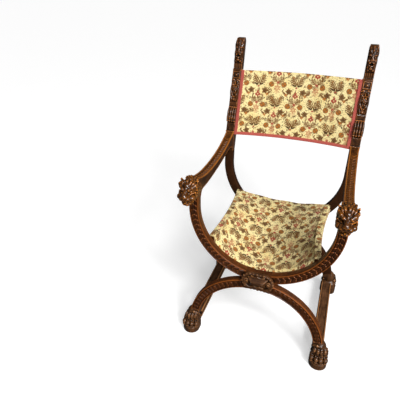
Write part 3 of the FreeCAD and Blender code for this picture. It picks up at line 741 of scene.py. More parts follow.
def blank(name):
    """A new material, its wires and the sockets of its Principled shader."""
    material = bpy.data.materials.new(name)
    material.use_nodes = True
    return material, Wires(material.node_tree), material.node_tree.nodes["Principled BSDF"].inputs


def scaled(tone, factor, lift=0.0):
    """A colour made darker or lighter, and no brighter than white."""
    return (*(min(1.0, c * factor + lift) for c in tone[:3]), 1.0)


# ---------------------------------------------------------------- wood

# Where the wear value counts as an edge polished by rubbing with a painted highlight, and where as a dark
# hollow with stain and painted shade.
RUBBED_AND_LIT_EDGE, HOLLOW = (0.60, 0.92), (0.53, 0.32)
PORE = (0.60, 0.70)


@once("node_groups", "Stained carved wood")
def wood_group(name):
    """Oak-like grain with pores, dark stain and painted shade in hollows, and edges polished by rubbing with
    painted highlights.
    """
    tree, w, given, out = group(name, {"Vector": "Vector", "Wear": 0.5, "Cavity": "Color", "Wood": "Color",
                                       "Worn": "Color", "Rubbed": 0.6, "Rough": 0.42},
                                "Color", "Roughness", "Height", "Gloss")
    place, cavity, stain, worn_and_lit = (given[label] for label in ("Vector", "Cavity", "Wood", "Worn"))
    grain = w.mapping(place, scale=(1.0, 1.0, 0.07))
    broad = w.noise(place, 22.0)
    streak = w.noise(grain, 230.0, detail=5.0, rough=0.62, distortion=0.4)
    pore = w.noise(w.mapping(place, scale=(1.0, 1.0, 0.045)), 900.0, detail=2.0, rough=0.5)
    pore = w.step(pore, *PORE)
    shade = broad * 0.55 + streak * 0.75
    dark = w.mix(0.70, stain, cavity)
    light = w.mix(0.14, stain, worn_and_lit)
    base = w.mix(w.step(shade, 0.42, 0.86), dark, light)
    rubbing = w.noise(place, 60.0, detail=4.0, rough=0.65)
    wear = given["Wear"] + (rubbing - 0.5) * 0.34
    # Edges that stand out take the lighter tone: polished by rubbing, and a painted highlight.
    edge = w.step(wear, *RUBBED_AND_LIT_EDGE) * given["Rubbed"]
    # Painted shade with dark stain: hollows darken to the cavity tone, and lose most of their coat.
    hollow = w.step(wear, *HOLLOW)
    tinted = w.mix(edge, base, worn_and_lit)
    stained_and_shaded = w.mix(hollow * 0.92, tinted, cavity)
    final = w.mix(pore * 0.35, stained_and_shaded, cavity)
    rough = given["Rough"] + (streak - 0.5) * 0.22 - edge * 0.12
    rough = w.math("ADD", rough, hollow * 0.18, clamp=True)
    w.fill(out, Color=final, Roughness=rough, Height=streak * 0.8 - pore * 0.9 + rubbing * 0.6,
           Gloss=1.0 - hollow * 0.9)
    return tree


GRAIN_TURNS = {"up": (0.0, 0.0, 0.0), "deep": (math.pi / 2, 0.0, 0.0), "across": (0.0, math.pi / 2, 0.0)}
GRAIN_DEPTH = 0.00022
COAT_ROUGHNESS = 0.16
SOLID_WEAR_AND_SHADING = 0.58

# Stain, tone of rubbing with its painted highlight, share of rubbing and highlight, roughness and coat. The
# grain runs up, deep (front to back), across, or along a bar. A CAD solid has no carving that rubbing and
# shading could be measured on, so it has one value for them all over.
FINISHES = {
    "Carved leg": ("leg_wood", "leg_worn", 0.62, 0.40, 0.12, {}),
    "Leg bar": ("leg_wood", "leg_worn", 0.60, 0.42, 0.12, {"grain": "along"}),
    # Painted shade: the rear legs' bars take the arms' darker tone on their edges, not a bright one, since
    # they stand in shadow.
    "Plain bar": ("plain_wood", "arm_wood", 0.45, 0.46, 0.08, {"grain": "along"}),
    "Plain frame": ("plain_wood", "leg_worn", 0.4, 0.46, 0.08, {"wear": SOLID_WEAR_AND_SHADING}),
    "Plain rail": ("plain_wood", "leg_worn", 0.4, 0.46, 0.08, {"grain": "deep", "wear": SOLID_WEAR_AND_SHADING}),
    "Floor runner": ("runner_wood", "paw_worn_and_lit", 0.5, 0.52, 0.05, {"grain": "along"}),
    "Arm bar": ("arm_wood", "arm_worn_and_lit", 0.7, 0.36, 0.16, {"grain": "deep"}),
    "Arm side": ("plain_wood", "arm_worn_and_lit", 0.5, 0.42, 0.10, {"grain": "deep"}),
    "Lion head": ("lion_wood", "lion_worn_and_lit", 1.0, 0.28, 0.7, {"grain": "deep", "shine": 0.2}),
    "Paw": ("paw_wood", "paw_worn_and_lit", 1.0, 0.34, 0.4, {}),
    "Back post": ("post_wood", "post_worn_and_lit", 0.95, 0.32, 0.5, {}),
    "Cartouche": ("leg_wood", "paw_worn_and_lit", 0.85, 0.34, 0.35, {"grain": "across"}),
    "Dowel": ("dowel_wood", "arm_worn_and_lit", 0.3, 0.5, 0.10, {"wear": SOLID_WEAR_AND_SHADING}),
}


@once("materials")
def wood(name):
    """One of the wood finishes."""
    stain, worn_and_lit, rubbing_and_shading, rough, coat, other = FINISHES[name]
    grain, shine, wear = other.get("grain", "up"), other.get("shine", 0.10), other.get("wear")
    material, w, shader = blank(name)
    if grain == "along":
        place = w.mapping(w.uv("weave"), turn=GRAIN_TURNS["deep"])
    else:
        place = w.mapping(w.coordinate(), turn=GRAIN_TURNS[grain])
    t = tones()
    made = w.group(wood_group(), Vector=place, Wear=wear or w.attribute("wear"), Cavity=t.cavity,
                   Wood=getattr(t, stain), Worn=getattr(t, worn_and_lit), Rubbed=rubbing_and_shading, Rough=rough)
    w.fill(shader, Base_Color=made["Color"], Roughness=made["Roughness"],
           Normal=w.bump(made["Height"], GRAIN_DEPTH), Specular_IOR_Level=shine,
           Coat_Weight=made["Gloss"] * coat, Coat_Roughness=COAT_ROUGHNESS)
    return material


# ---------------------------------------------------------------- cloth, braid and iron

@once("node_groups", "Ribbed weave")
def weave_group(name):
    """Ribbed weave: rows of small threads, with uneven yarn."""
    tree, w, given, out = group(name, {"Vector": "Vector", "Thread": 0.0013}, "Height", "Shade")
    x, y, _ = w.parts(given["Vector"])
    turn = 2 * math.pi / given["Thread"]
    rib = (y * turn).sine() * 0.5 + 0.5
    row = (y / given["Thread"]).floor()
    strand = (x * turn + row * math.pi).sine() * 0.5 + 0.5
    yarn = w.noise(w.mapping(given["Vector"], scale=(0.25, 1.0, 1.0)), 700.0, detail=2.0)
    height = rib * 0.6 + strand * 0.4
    w.fill(out, Height=height + yarn * 0.4, Shade=height * 0.5 + yarn * 0.5)
    return tree


ROOTED = {"X": 0.0, "Y": 0.0, "Root X": 0.0, "Root Y": 0.0, "Turn": 0.0}


def almond(w, given, along, aside, soft):
    """1 inside an almond shape and 0 outside, and how far aside a point lies in half widths."""
    p = along / given["Long"]
    hump = p * (1.0 - p) * 4.0
    q = aside / given["Wide"]
    return w.step(hump - q, -0.02, soft), q


@once("node_groups", "Woven petals")
def petal_group(name):
    """Almond-shaped petals, one or a ring of them: 1 inside, 0 outside."""
    tree, w, given, out = group(name, {**ROOTED, "Count": 1.0, "Long": 0.01, "Wide": 0.003}, "Mask")
    x, y = given["X"] - given["Root X"], given["Y"] - given["Root Y"]
    reach = (x * x + y * y).root()
    turns = (x.bearing(y) - given["Turn"]) * (given["Count"] / (2 * math.pi))
    turns = (turns + 0.5).fract() - 0.5
    swing = turns * (2 * math.pi) / given["Count"]
    aside = (swing.sine() * reach).absolute()
    inside, _ = almond(w, given, swing.cosine() * reach, aside, 0.16)
    w.fill(out, Mask=inside)
    return tree


@once("node_groups", "Woven plume")
def plume_group(name):
    """A feathered leaf with slanting barbs along its spine: 1 inside, 0 outside."""
    tree, w, given, out = group(name, {**ROOTED, "Long": 0.04, "Wide": 0.01, "Pitch": 0.007}, "Mask")
    x, y = given["X"] - given["Root X"], given["Y"] - given["Root Y"]
    sine, cosine = given["Turn"].sine(), given["Turn"].cosine()
    along = x * sine + y * cosine
    aside = (x * cosine - y * sine).absolute()
    inside, q = almond(w, given, along, aside, 0.10)
    rank = (along - aside * 1.1) / given["Pitch"]
    barb = (rank.fract() - 0.5).absolute()
    w.fill(out, Mask=inside * w.step(barb + q * 0.26, 0.52, 0.40))
    return tree


@once("node_groups", "Tapestry motif")
def motif_group(name):
    """One repeat of the tapestry, mirrored about its middle: masks for each yarn."""
    tree, w, given, out = group(name, {"Vector": "Vector"}, "Leaf", "Olive", "Rosette", "Blossom", "Sprig")
    x, y, _ = w.parts(given["Vector"])
    # The repeat runs from the dot under the plumes up to the leaves over the red blossom.
    x, y = x.absolute(), y - 13 * MM
    folded = w.whole(x, y)

    def rooted(mask, tree, px, py, turn, **size):
        """Adds a shape with its root at a place in mm, turned by degrees."""
        root = {"Root_X": px * MM, "Root_Y": py * MM, "Turn": math.radians(turn)}
        shape = w.group(tree, X=x, Y=y, **root, **size)["Mask"]
        return shape if mask is None else mask.maximum(shape)

    def petals(mask, *items):
        """Adds petals given as root x, root y, turn in degrees, count, length and half width, in mm."""
        for *root, count, long, wide in items:
            mask = rooted(mask, petal_group(), *root, Count=float(count), Long=long * MM, Wide=wide * MM)
        return mask

    def plumes(mask, *items):
        """Adds plumes given as root x, root y, turn in degrees, length, half width and pitch, in mm."""
        for *root, long, wide, pitch in items:
            mask = rooted(mask, plume_group(), *root, Long=long * MM, Wide=wide * MM, Pitch=pitch * MM)
        return mask

    def spots(mask, *items, cut=False):
        """Adds round spots given as x, y and radius in mm, or cuts them away."""
        for px, py, radius in items:
            distance = w.vector("DISTANCE", folded, (px * MM, py * MM, 0.0))
            if cut:
                mask = mask * w.step(distance, (radius - 0.8) * MM, radius * MM)
            else:
                spot = w.step(distance, radius * MM, (radius - 0.9) * MM)
                mask = spot if mask is None else mask.maximum(spot)
        return mask

    leaf = plumes(None, (3, -92, 24, 48, 16, 9.6), (3, 9, 44, 30, 13, 8.4))
    leaf = petals(leaf, (28.5, 58, 12, 5, 15.5, 4.8), (0, 12, 0, 1, 26, 1.4), (39, -41, -48, 1, 22, 4.2),
                  (20, -30, 30, 1, 16, 2.6), (14, 22, -20, 1, 15, 2.6), (58, 12, 15, 1, 17, 2.8),
                  (62, -38, 205, 1, 18, 2.8))
    leaf = spots(leaf, (28.5, 58, 4.5), (25.5, 0, 11.6))
    olive = petals(None, (3, -91, 62, 1, 20, 3.2), (28.5, 59, 48, 5, 11, 1.4), (4, -92, 2, 1, 15, 1.8),
                   (52, -62, -40, 1, 12, 2.4))
    olive = spots(olive, (24, -46, 1.7), (31, -56, 1.9), (13, -72, 1.6), (19, 31, 1.6), (42, 4, 1.6),
                  (50, -27, 1.7), (41, 50, 1.6), (12, 66, 1.5), (14, -42, 1.5))
    rosette = spots(None, (25.5, 0, 9.6))
    rosette = spots(rosette, (22.6, 3.2, 4.2), (29.0, -3.6, 3.8), cut=True)
    rosette = petals(rosette, (39, -41, -15, 4, 7.5, 2.6), (15, -60, 10, 1, 10, 1.8))
    blossom = petals(None, (0, 43, 0, 4, 12, 5.0), (0, 54, 0, 4, 7, 1.7))
    blossom = spots(blossom, (7.2, 40.5, 4.4))
    blossom = spots(blossom, (0, 42.5, 2.6), cut=True)
    blossom = spots(blossom, (0, 8, 4.2), (0, -95, 4.4))
    blossom = petals(blossom, (0, 8, 0, 6, 8, 1.9))
    lace = petals(None, (0, -22, 180, 1, 17, 5.4), (3, -24, 140, 1, 14, 2.6), (0, -13, 30, 6, 10, 4.4))
    sprig = petals(None, (0, -14, 0, 6, 15, 3.4))
    sprig = spots(sprig, (0, -14, 4.6), cut=True)
    sprig = spots(sprig, (0, -5, 2.8), (10, -8, 2.4), (11, -19, 2.2))
    w.fill(out, Leaf=leaf, Olive=olive, Rosette=rosette, Blossom=blossom, Sprig=sprig.maximum(lace * 0.5))
    return tree


DOTS_PER_METRE, DOT_RADIUS = 92.0, (0.24, 0.17)
SPRAYS_PER_METRE = 33.0
SPRAY = {"Root_Y": -13 * MM, "Long": 27 * MM, "Wide": 10.5 * MM, "Pitch": 7.6 * MM}
# How much of the ground each yarn covers, in the order in which they lie on one another.
COVER = {"Sprig": 0.85, "Leaf": 0.92, "Olive": 0.92, "Rosette": 0.95, "Blossom": 0.95}


@once("materials", "Tapestry")
def tapestry(name):
    """Woven cream ground with half-drop flowers and leaves."""
    material, w, shader = blank(name)
    t, s = tones(), sizes()
    place = w.uv("weave")
    # Stitches step the edges of the pattern, as a loom does.
    stitch = (s.thread,) * 3
    stepped = w.vector("MULTIPLY", w.vector("FLOOR", w.vector("DIVIDE", place, stitch)), stitch)
    rough_edge = w.vector("SUBTRACT", w.noise(stepped, 320.0, detail=1.0, output="Color"), (0.5, 0.5, 0.5))
    drawn = w.vector("ADD", stepped, w.vector("MULTIPLY", rough_edge, (0.0019,) * 3))
    wide, high = s.repeat_width, s.repeat_height
    masks = {}
    for shift in (0.0, 0.5):
        x, y, _ = w.parts(w.vector("ADD", drawn, (shift * wide, shift * high, 0.0)))
        cell = w.whole(((x / wide).fract() - 0.5) * wide, ((y / high).fract() - 0.5) * high)
        made = w.group(motif_group(), Vector=cell)
        for yarn in COVER:
            masks[yarn] = masks[yarn].maximum(made[yarn]) if yarn in masks else made[yarn]
    distance, chance, _ = w.scatter(stepped, DOTS_PER_METRE)
    chance = w.parts(chance)[0]
    dot = w.step(distance, *DOT_RADIUS) * w.step(chance, 0.72, 0.74)
    # Small scattered sprays and twigs fill the ground between the flowers.
    _, chance, middle = w.scatter(drawn, SPRAYS_PER_METRE, 0.75)
    turn = w.parts(chance)[1] * (2 * math.pi)
    x, y, _ = w.parts(w.vector("SUBTRACT", drawn, middle))
    spray = w.group(plume_group(), X=x, Y=y, Turn=turn, **SPRAY)["Mask"]
    slanting = w.mapping(stepped, turn=(0.0, 0.0, 0.6), scale=(1.0, 1.7, 1.0))
    twig = w.step(w.noise(slanting, 150.0, detail=2.0, rough=0.7, distortion=1.2), 0.565, 0.61)
    weave = w.group(weave_group(), Vector=place, Thread=s.thread)
    cloud = w.noise(place, 14.0, detail=2.0)
    aged = tuple(c * f for c, f in zip(t.ground, (0.93, 0.88, 0.76, 1)))
    ground = w.mix(w.step(cloud, 0.35, 0.7), t.ground, aged)
    colours = w.mix((twig * 0.70).maximum(spray * 0.86), ground, t.leaf)
    colours = w.mix(dot * 0.8, colours, t.olive)
    fleck = w.noise(stepped, 520.0, detail=0.0)
    for yarn, cover in COVER.items():
        tone = getattr(t, yarn.lower())
        varied = w.mix(w.step(fleck, 0.40, 0.64), tone, scaled(tone, 1.5))
        colours = w.mix(masks[yarn] * cover, colours, varied)
    shaded = w.mix(w.step(weave["Shade"], 0.15, 0.6, 0.30, 0.0), colours, (0.16, 0.10, 0.04, 1.0), "MULTIPLY")
    w.fill(shader, Base_Color=shaded, Roughness=0.86, Specular_IOR_Level=0.22, Sheen_Weight=0.08,
           Sheen_Roughness=0.45, Normal=w.bump(weave["Height"], 0.00035, 0.8))
    return material


@once("materials")
def twill(name):
    """Braid woven in a slanting twill: coral round the back, cream on the seat's flaps."""
    material, w, shader = blank(name)
    place = w.uv("weave")
    x, y, _ = w.parts(place)
    slant = x * 0.8 + y * 0.6
    rib = (slant * (2 * math.pi / 0.0016)).sine() * 0.5 + 0.5
    yarn = w.noise(w.mapping(place, turn=(0, 0, 0.64), scale=(0.3, 1.0, 1.0)), 900.0, detail=2.0)
    tone = tones().braid if name == "Coral braid" else tones().galloon
    # Painted shade: the low parts between the twill's ribs are darker.
    body = w.mix(w.step(rib, 0.1, 0.8), scaled(tone, 0.55), tone)
    w.fill(shader, Base_Color=w.mix(yarn * 0.5, body, scaled(tone, 1.25)), Roughness=0.78, Sheen_Weight=0.3,
           Normal=w.bump(rib + yarn * 0.4, 0.0004))
    return material


@once("materials", "Stitch thread")
def thread(name):
    """Thread of the stitches, in the coral braid's colour."""
    material, w, shader = blank(name)
    fibre = w.noise(w.coordinate(), 1600.0, detail=2.0)
    tone = tones().braid
    w.fill(shader, Base_Color=w.mix(fibre, scaled(tone, 0.5), scaled(tone, 1.6, 0.05)), Roughness=0.8)
    return material


@once("materials", "Blackened iron")
def iron(name):
    """Blackened iron with brushed patches."""
    material, w, shader = blank(name)
    tone = tones().iron
    mottle = w.noise(w.coordinate(), 380.0, detail=4.0)
    w.fill(shader, Base_Color=w.mix(w.step(mottle, 0.35, 0.7), scaled(tone, 0.4), tone),
           Roughness=w.step(mottle, 0.3, 0.75, 0.62, 0.36), Metallic=0.85, Normal=w.bump(mottle, 0.0002))
    return material


# ---------------------------------------------------------------- the legs

# Angles off the crossing at which a leg's bars and their ornament start, in degrees.
BAR_START, ORNAMENT_START = 10.2, 15.5
CROSSING_REACH = 0.0475
LOWER_END, UPPER_RISE = 0.104, 0.0515


def bend(side, part, start=BAR_START):
    """Path of a quarter bend and its directions away from the bend's centre, in the frame's middle plane."""
    s = sizes()
    radius = s.bend_radius
    if part == "upper":
        centre = s.upper_centre
        angles = np.radians(np.linspace(-90 + start, 0, 64))
    else:
        centre = s.lower_centre
        low = math.degrees(math.asin((LOWER_END - centre) / radius))
        angles = np.radians(np.linspace(90 - start, low, 64))
    out = columns(side * np.cos(angles), 0.0, np.sin(angles))
    path = out * radius + [0, 0, centre]
    if part == "upper":
        rise = np.linspace(0, UPPER_RISE, 9)[1:]
        path = np.concatenate([path, columns(side * radius, 0.0, centre + rise)])
        out = np.concatenate([out, np.repeat([[side, 0, 0]], 8, axis=0)])
    return path, out


def leg_profile(carved, reeded):
    """Section of a leg: across the band from its inner to its outer edge, and from the face to the back."""
    s = sizes()
    half, deep, border, sunk = s.band_width / 2, s.frame_depth, s.border_width, s.sunk_depth
    edge, corner = 0.0026, 0.0008
    if carved:
        ground = -half + border
        face = [(-half, edge + 0.0006), (-half + 0.0005, 0.0012), (-half + 0.0016, 0.0002),
                (-half + 0.0030, 0.0), (ground - 0.0010, 0.0006), (ground, 0.0017), (ground + 0.0004, sunk),
                (ground + 0.0018, sunk)]
    else:
        face = [(-half, edge), (-half + corner, corner), (-half + edge, 0.0)]
    outer = []
    if reeded:
        reeds, groove, shoulder = 5, half - 0.0011, half - 0.0003
        wide = (deep - 2 * edge - 0.002) / reeds
        for k in range(reeds):
            low = edge + 0.001 + k * wide
            outer += [(groove, low), (shoulder, low + wide * 0.25), (half, low + wide * 0.5),
                      (shoulder, low + wide * 0.75)]
        outer.append((groove, deep - edge - 0.001))
    back = [(half, deep - edge), (half - corner, deep - corner), (half - edge, deep)]
    return np.array(mirrored(face) + outer + mirrored(back))


def leg_bar(name, side, part, face_y, to_back, carved):
    """One bend of a leg, from the crossing to its end."""
    path, out = bend(side, part)
    profile = leg_profile(carved, carved and part == "lower")
    bar = sweep(name, path + [0, face_y, 0], out, (0.0, to_back, 0.0), profile, profile_wear_and_shading(profile))
    return paint(bar, wood("Leg bar" if carved else "Plain bar"))


def crossing(node):
    """The halved crossing of a leg, copied from its CAD node and trimmed to a short length."""
    shape = cad_shape(node)
    bmesh.ops.remove_doubles(shape, verts=shape.verts, dist=1e-5)
    for side in (-1, 1):
        everything = list(shape.verts) + list(shape.edges) + list(shape.faces)
        cut = bmesh.ops.bisect_plane(shape, geom=everything, plane_co=(side * CROSSING_REACH, 0, 0),
                                     plane_no=(side, 0, 0), clear_outer=True)
        rim = [e for e in cut["geom_cut"] if isinstance(e, bmesh.types.BMEdge)]
        bmesh.ops.holes_fill(shape, edges=rim, sides=0)
    bmesh.ops.recalc_face_normals(shape, faces=shape.faces)
    bmesh.ops.dissolve_limit(shape, angle_limit=0.02, verts=shape.verts, edges=shape.edges)
    mesh = bpy.data.meshes.new(node + "_crossing")
    shape.to_mesh(mesh)
    shape.free()
    store(mesh, "wear", np.full(len(mesh.vertices), 0.62))
    return paint(smooth(add_object(mesh.name, mesh), 30), wood("Carved leg"))


def acanthus(name, long, wide, rise):
    """A pointed leaf with a midrib and side lobes, its tip raised over the base of the next one."""
    def outline(u, t):
        half = wide / 2 * (0.86 + 0.14 * min(1.0, t / 0.5))
        tip = long * (0.045 * math.cos(3 * math.pi * u) - 0.30 * abs(u) ** 1.25)
        return u * half, (t - 0.5) * long + tip * t ** 1.6

    def height(u, t):
        slope = 0.16 + 0.84 * min(1.0, t / 0.88) ** 1.2
        lobes = 0.66 + 0.34 * abs(math.cos(1.5 * math.pi * u))
        rib = 0.20 * math.exp(-(u / 0.09) ** 2) - 0.20 * math.exp(-((abs(u) - 0.24) / 0.09) ** 2)
        return rise * slope * (lobes + rib)

    # Painted highlight on the raised tip and lobes and painted shade in the side veins, together with
    # rubbing.
    def wear(u, t):
        rim = max(0.0, (t - 0.80) / 0.16)
        vein = math.exp(-((abs(u) - 0.24) / 0.10) ** 2)
        raised = 0.24 * min(1.0, t / 0.5) + 0.20 * min(1.0, rim)
        return min(0.94, 0.36 + raised - 0.26 * vein * (1 - 0.6 * rim))

    return relief(name, outline, height, 19, 15, wear=wear)


def husk(name, long, wide, rise):
    """A three-part bellflower husk."""
    def outline(u, t):
        half = wide / 2 * (0.45 + 0.62 * math.sin(math.pi * min(1.0, 0.12 + t * 0.9)) ** 0.8)
        point = 0.20 * long * (math.cos(u * math.pi) * 0.5 - 0.2) * t
        return u * half, (t - 0.5) * long + point

    def height(u, t):
        lobes = 0.55 + 0.45 * abs(math.cos(u * math.pi * 1.5)) ** 0.7
        swell = math.sin(math.pi * min(1.0, 0.10 + 0.80 * t)) ** 0.6
        return rise * lobes * swell

    return relief(name, outline, height, 15, 11)


def chevron(name, long, wide, rise):
    """A V-shaped ridge that points to the front."""
    def outline(u, t):
        return u * wide / 2, (t - 0.5) * long - 0.42 * wide * (abs(u) - 0.5) * (0.9 if abs(u) > 0.05 else 1.0)

    def height(u, t):
        roll = (0.15 + t / 0.62) if t < 0.62 else 1.35 - (t - 0.62) * 1.9
        return rise * max(0.05, min(1.0, roll)) * (1 - 0.35 * abs(u) ** 6)

    return relief(name, outline, height, 13, 8)


class ARMCHAIR_OT_legs(bpy.types.Operator):
    """Bent legs: leaf chains between beads on the front ones, plain rear ones"""
    bl_idname = "armchair.legs"
    bl_label = "Legs"

    def execute(self, context):
        s = sizes()
        leaf = acanthus("leaf_pattern", s.leaf_pitch * 1.40, 0.0250, 0.0048)
        bell = husk("husk_pattern", s.husk_pitch * 1.05, 0.0205, 0.0030)
        ground = [0, s.sunk_depth - s.frame_face, 0]
        for name, side in SIDES.items():
            parts = [leg_bar(f"bar_upper_{name}", side, "upper", -s.frame_face, 1.0, True),
                     leg_bar(f"bar_lower_{name}", -side, "lower", -s.frame_face, 1.0, True),
                     crossing(f"front_leg_{name}")]
            upper = bend(side, "upper", ORNAMENT_START)[0][:-2] + ground
            lower = bend(-side, "lower", ORNAMENT_START)[0] + ground
            for label, path, ornament, pitch, seed in (("leaves", upper, leaf, s.leaf_pitch, 3),
                                                       ("husks", lower, bell, s.husk_pitch, 5)):
                parts.append(repeat_along(f"{label}_{name}", path, ornament, pitch, (0, -1, 0),
                                          wood("Carved leg"), 0.03, seed))
            leg = join(f"front_leg_carved_{name}", parts)
            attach(leg, body_of_node(f"front_leg_{name}"))
            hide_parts(f"front_leg_{name}")
            rear = join(f"rear_leg_dressed_{name}",
                        [leg_bar(f"rear_upper_{name}", side, "upper", s.frame_face, -1.0, False),
                         leg_bar(f"rear_lower_{name}", -side, "lower", s.frame_face, -1.0, False),
                         crossing(f"rear_leg_{name}")])
            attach(rear, body_of_node(f"rear_leg_{name}"))
            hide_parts(f"rear_leg_{name}")
        bpy.data.objects.remove(leaf)
        bpy.data.objects.remove(bell)
        return {"FINISHED"}


# ---------------------------------------------------------------- runners, rails, pivot and dowels

RUNNER_END = 0.1925
# The roll along the top edges: how far in from the side and down from the top.
RUNNER_MOULDING = ((0.0, 0.0078), (0.0, 0.0040), (0.0006, 0.0018), (0.0022, 0.0004), (0.0042, 0.0002),
                   (0.0056, 0.0012), (0.0064, 0.0030), (0.0080, 0.0031))


class ARMCHAIR_OT_runners(bpy.types.Operator):
    """Moulded floor runners between the front and rear paws"""
    bl_idname = "armchair.runners"
    bl_label = "Floor runners"

    def execute(self, context):
        y = np.linspace(-RUNNER_END, RUNNER_END, 24)
        for name in SIDES:
            low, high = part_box(f"floor_runner_{name}")
            middle, wide, rise = (low[0] + high[0]) / 2, (high[0] - low[0]) / 2, high[2] - low[2]
            half = [(wide, 0.003), (wide, 0.012), (wide - 0.0022, 0.0135), (wide - 0.0022, rise - 0.009)]
            half += [(wide - x, rise - z) for x, z in RUNNER_MOULDING] + [(0.0, rise - 0.0030)]
            profile = np.array([(0.003 - wide, 0.0), (wide - 0.003, 0.0)] + mirrored(half))
            bar = sweep(f"floor_runner_moulded_{name}", columns(middle, y, low[2]), (1, 0, 0), (0, 0, 1),
                        profile, profile_wear_and_shading(profile))
            paint(bar, wood("Floor runner"))
            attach(bar, body_of_node(f"floor_runner_{name}"))
            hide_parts(f"floor_runner_{name}")
        return {"FINISHED"}


class ARMCHAIR_OT_joinery(bpy.types.Operator):
    """Finishes for the seat rails, dowels, turned sleeve, rear boss and iron pivot"""
    bl_idname = "armchair.joinery"
    bl_label = "Joinery and pivot"

    def execute(self, context):
        finishes = {"seat_rail_left": "Plain rail", "seat_rail_right": "Plain rail",
                    "pivot_sleeve": "Plain rail", "rear_boss": "Plain frame"}
        for node, shown in frame["nodes"].items():
            if node in finishes:
                finish = wood(finishes[node])
            elif "dowels" in node:
                finish = wood("Dowel")
            elif node.startswith("pivot_"):
                finish = iron()
            else:
                continue
            paint(shown, finish)
            for slot in shown.material_slots:
                slot.link = "OBJECT"
                slot.material = finish
        return {"FINISHED"}


# ---------------------------------------------------------------- arms

ARM_MIDDLE = 0.258
PANEL_DEPTH = 0.0022
CHEVRON_RUN = (-0.213, 0.150)


def arm_heights():
    """Places along the right arm, and the heights of its top and underside there, read from the CAD node."""
    shape = cad_shape("arm_right")
    tree = BVHTree.FromBMesh(shape)
    shape.free()
    stations = np.concatenate([np.linspace(-0.2349, -0.2052, 9), np.linspace(-0.2048, -0.178, 12),
                               np.linspace(-0.174, 0.2049, 80)])
    found = []
    for y in stations:
        down = tree.ray_cast(Vector((0.2511, y, 0.9)), Vector((0, 0, -1)))[0]
        up = tree.ray_cast(Vector((0.2511, y, 0.5)), Vector((0, 0, 1)))[0]
        if down is None or up is None:
            raise RuntimeError(f"the arm has no wood at {y:.3f}")
        found.append((down[2], up[2]))
    top, under = np.array(found).T
    return stations, top, under


def arm_bar(stations, top, under):
    """The right arm, with raised borders beside a sunken panel, and a plain finish on its sides."""
    s = sizes()
    half = s.band_width / 2
    border = half - (s.border_width + 0.0012)
    rings = []
    for high, low in zip(top, under):
        panel = high - PANEL_DEPTH
        rings.append(mirrored(
            [(half - 0.003, low), (half - 0.0009, low + 0.0009), (half, low + 0.003), (half, low + 0.0058),
             (half - 0.0012, low + 0.0068), (half - 0.0012, low + 0.0080), (half - 0.0004, high - 0.0044),
             (half - 0.0004, high - 0.0030), (half - 0.0014, high - 0.0010), (half - 0.0032, high),
             (border + 0.0014, high), (border + 0.0002, high - 0.0010), (border, panel),
             (border - 0.0016, panel), (0.0, panel)]))
    profile = np.array(rings)
    # All rings have the same corners, so one of them gives the rubbing and shading of all.
    arm = sweep("arm_bar", columns(ARM_MIDDLE, stations, 0.0), (1, 0, 0), (0, 0, 1), profile,
                profile_wear_and_shading(profile[60]))
    paint(arm, wood("Arm bar"))
    arm.data.materials.append(wood("Arm side"))
    points = read(arm.data.vertices, "co", 3)
    below = points[:, 2] < np.interp(points[:, 1], stations, top) - 0.0035
    for face in arm.data.polygons:
        if all(below[i] for i in face.vertices):
            face.material_index = 1
    return arm


def panel_rim(stations, top):
    """The rounded end of the sunken panel near the collar."""
    t = np.linspace(-1, 1, 15)
    y = 0.158 + 0.010 * t * t
    path = columns(ARM_MIDDLE + 0.0118 * t, y, np.interp(y, stations, top) - PANEL_DEPTH + 0.0004)
    a = np.linspace(0, 2 * math.pi, 8, endpoint=False)
    along = np.gradient(path, axis=0)
    along /= np.linalg.norm(along, axis=1)[:, None]
    ring = columns(0.0013 * np.cos(a), 0.0016 * np.sin(a))
    rim = sweep("arm_panel_rim", path, np.cross(along, [0, 0, 1.0]), (0, 0, 1), ring, np.full(8, 0.75))
    return paint(rim, wood("Arm bar"))


class ARMCHAIR_OT_arms(bpy.types.Operator):
    """Dipping arms with a sunken panel and a run of chevrons between raised borders"""
    bl_idname = "armchair.arms"
    bl_label = "Arms"

    def execute(self, context):
        pitch = sizes().chevron_pitch
        pattern = chevron("chevron_pattern", pitch * 0.95, 0.0240, 0.0030)
        stations, top, under = arm_heights()
        arm = arm_bar(stations, top, under)
        kept = (stations > CHEVRON_RUN[0]) & (stations < CHEVRON_RUN[1])
        run = columns(ARM_MIDDLE, stations[kept], top[kept] - PANEL_DEPTH)
        chevrons = repeat_along("arm_chevrons", run[::-1], pattern, pitch, (0, 0, 1), wood("Arm bar"), 0.02,
                                7)
        whole = join("arm_carved_right", [arm, chevrons, panel_rim(stations, top)])
        other = mirror_copy(whole, "arm_carved_left")
        for piece, name in ((whole, "right"), (other, "left")):
            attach(piece, body_of_node(f"arm_{name}"))
            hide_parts(f"arm_{name}")
        bpy.data.objects.remove(pattern)
        return {"FINISHED"}


# ---------------------------------------------------------------- lion heads

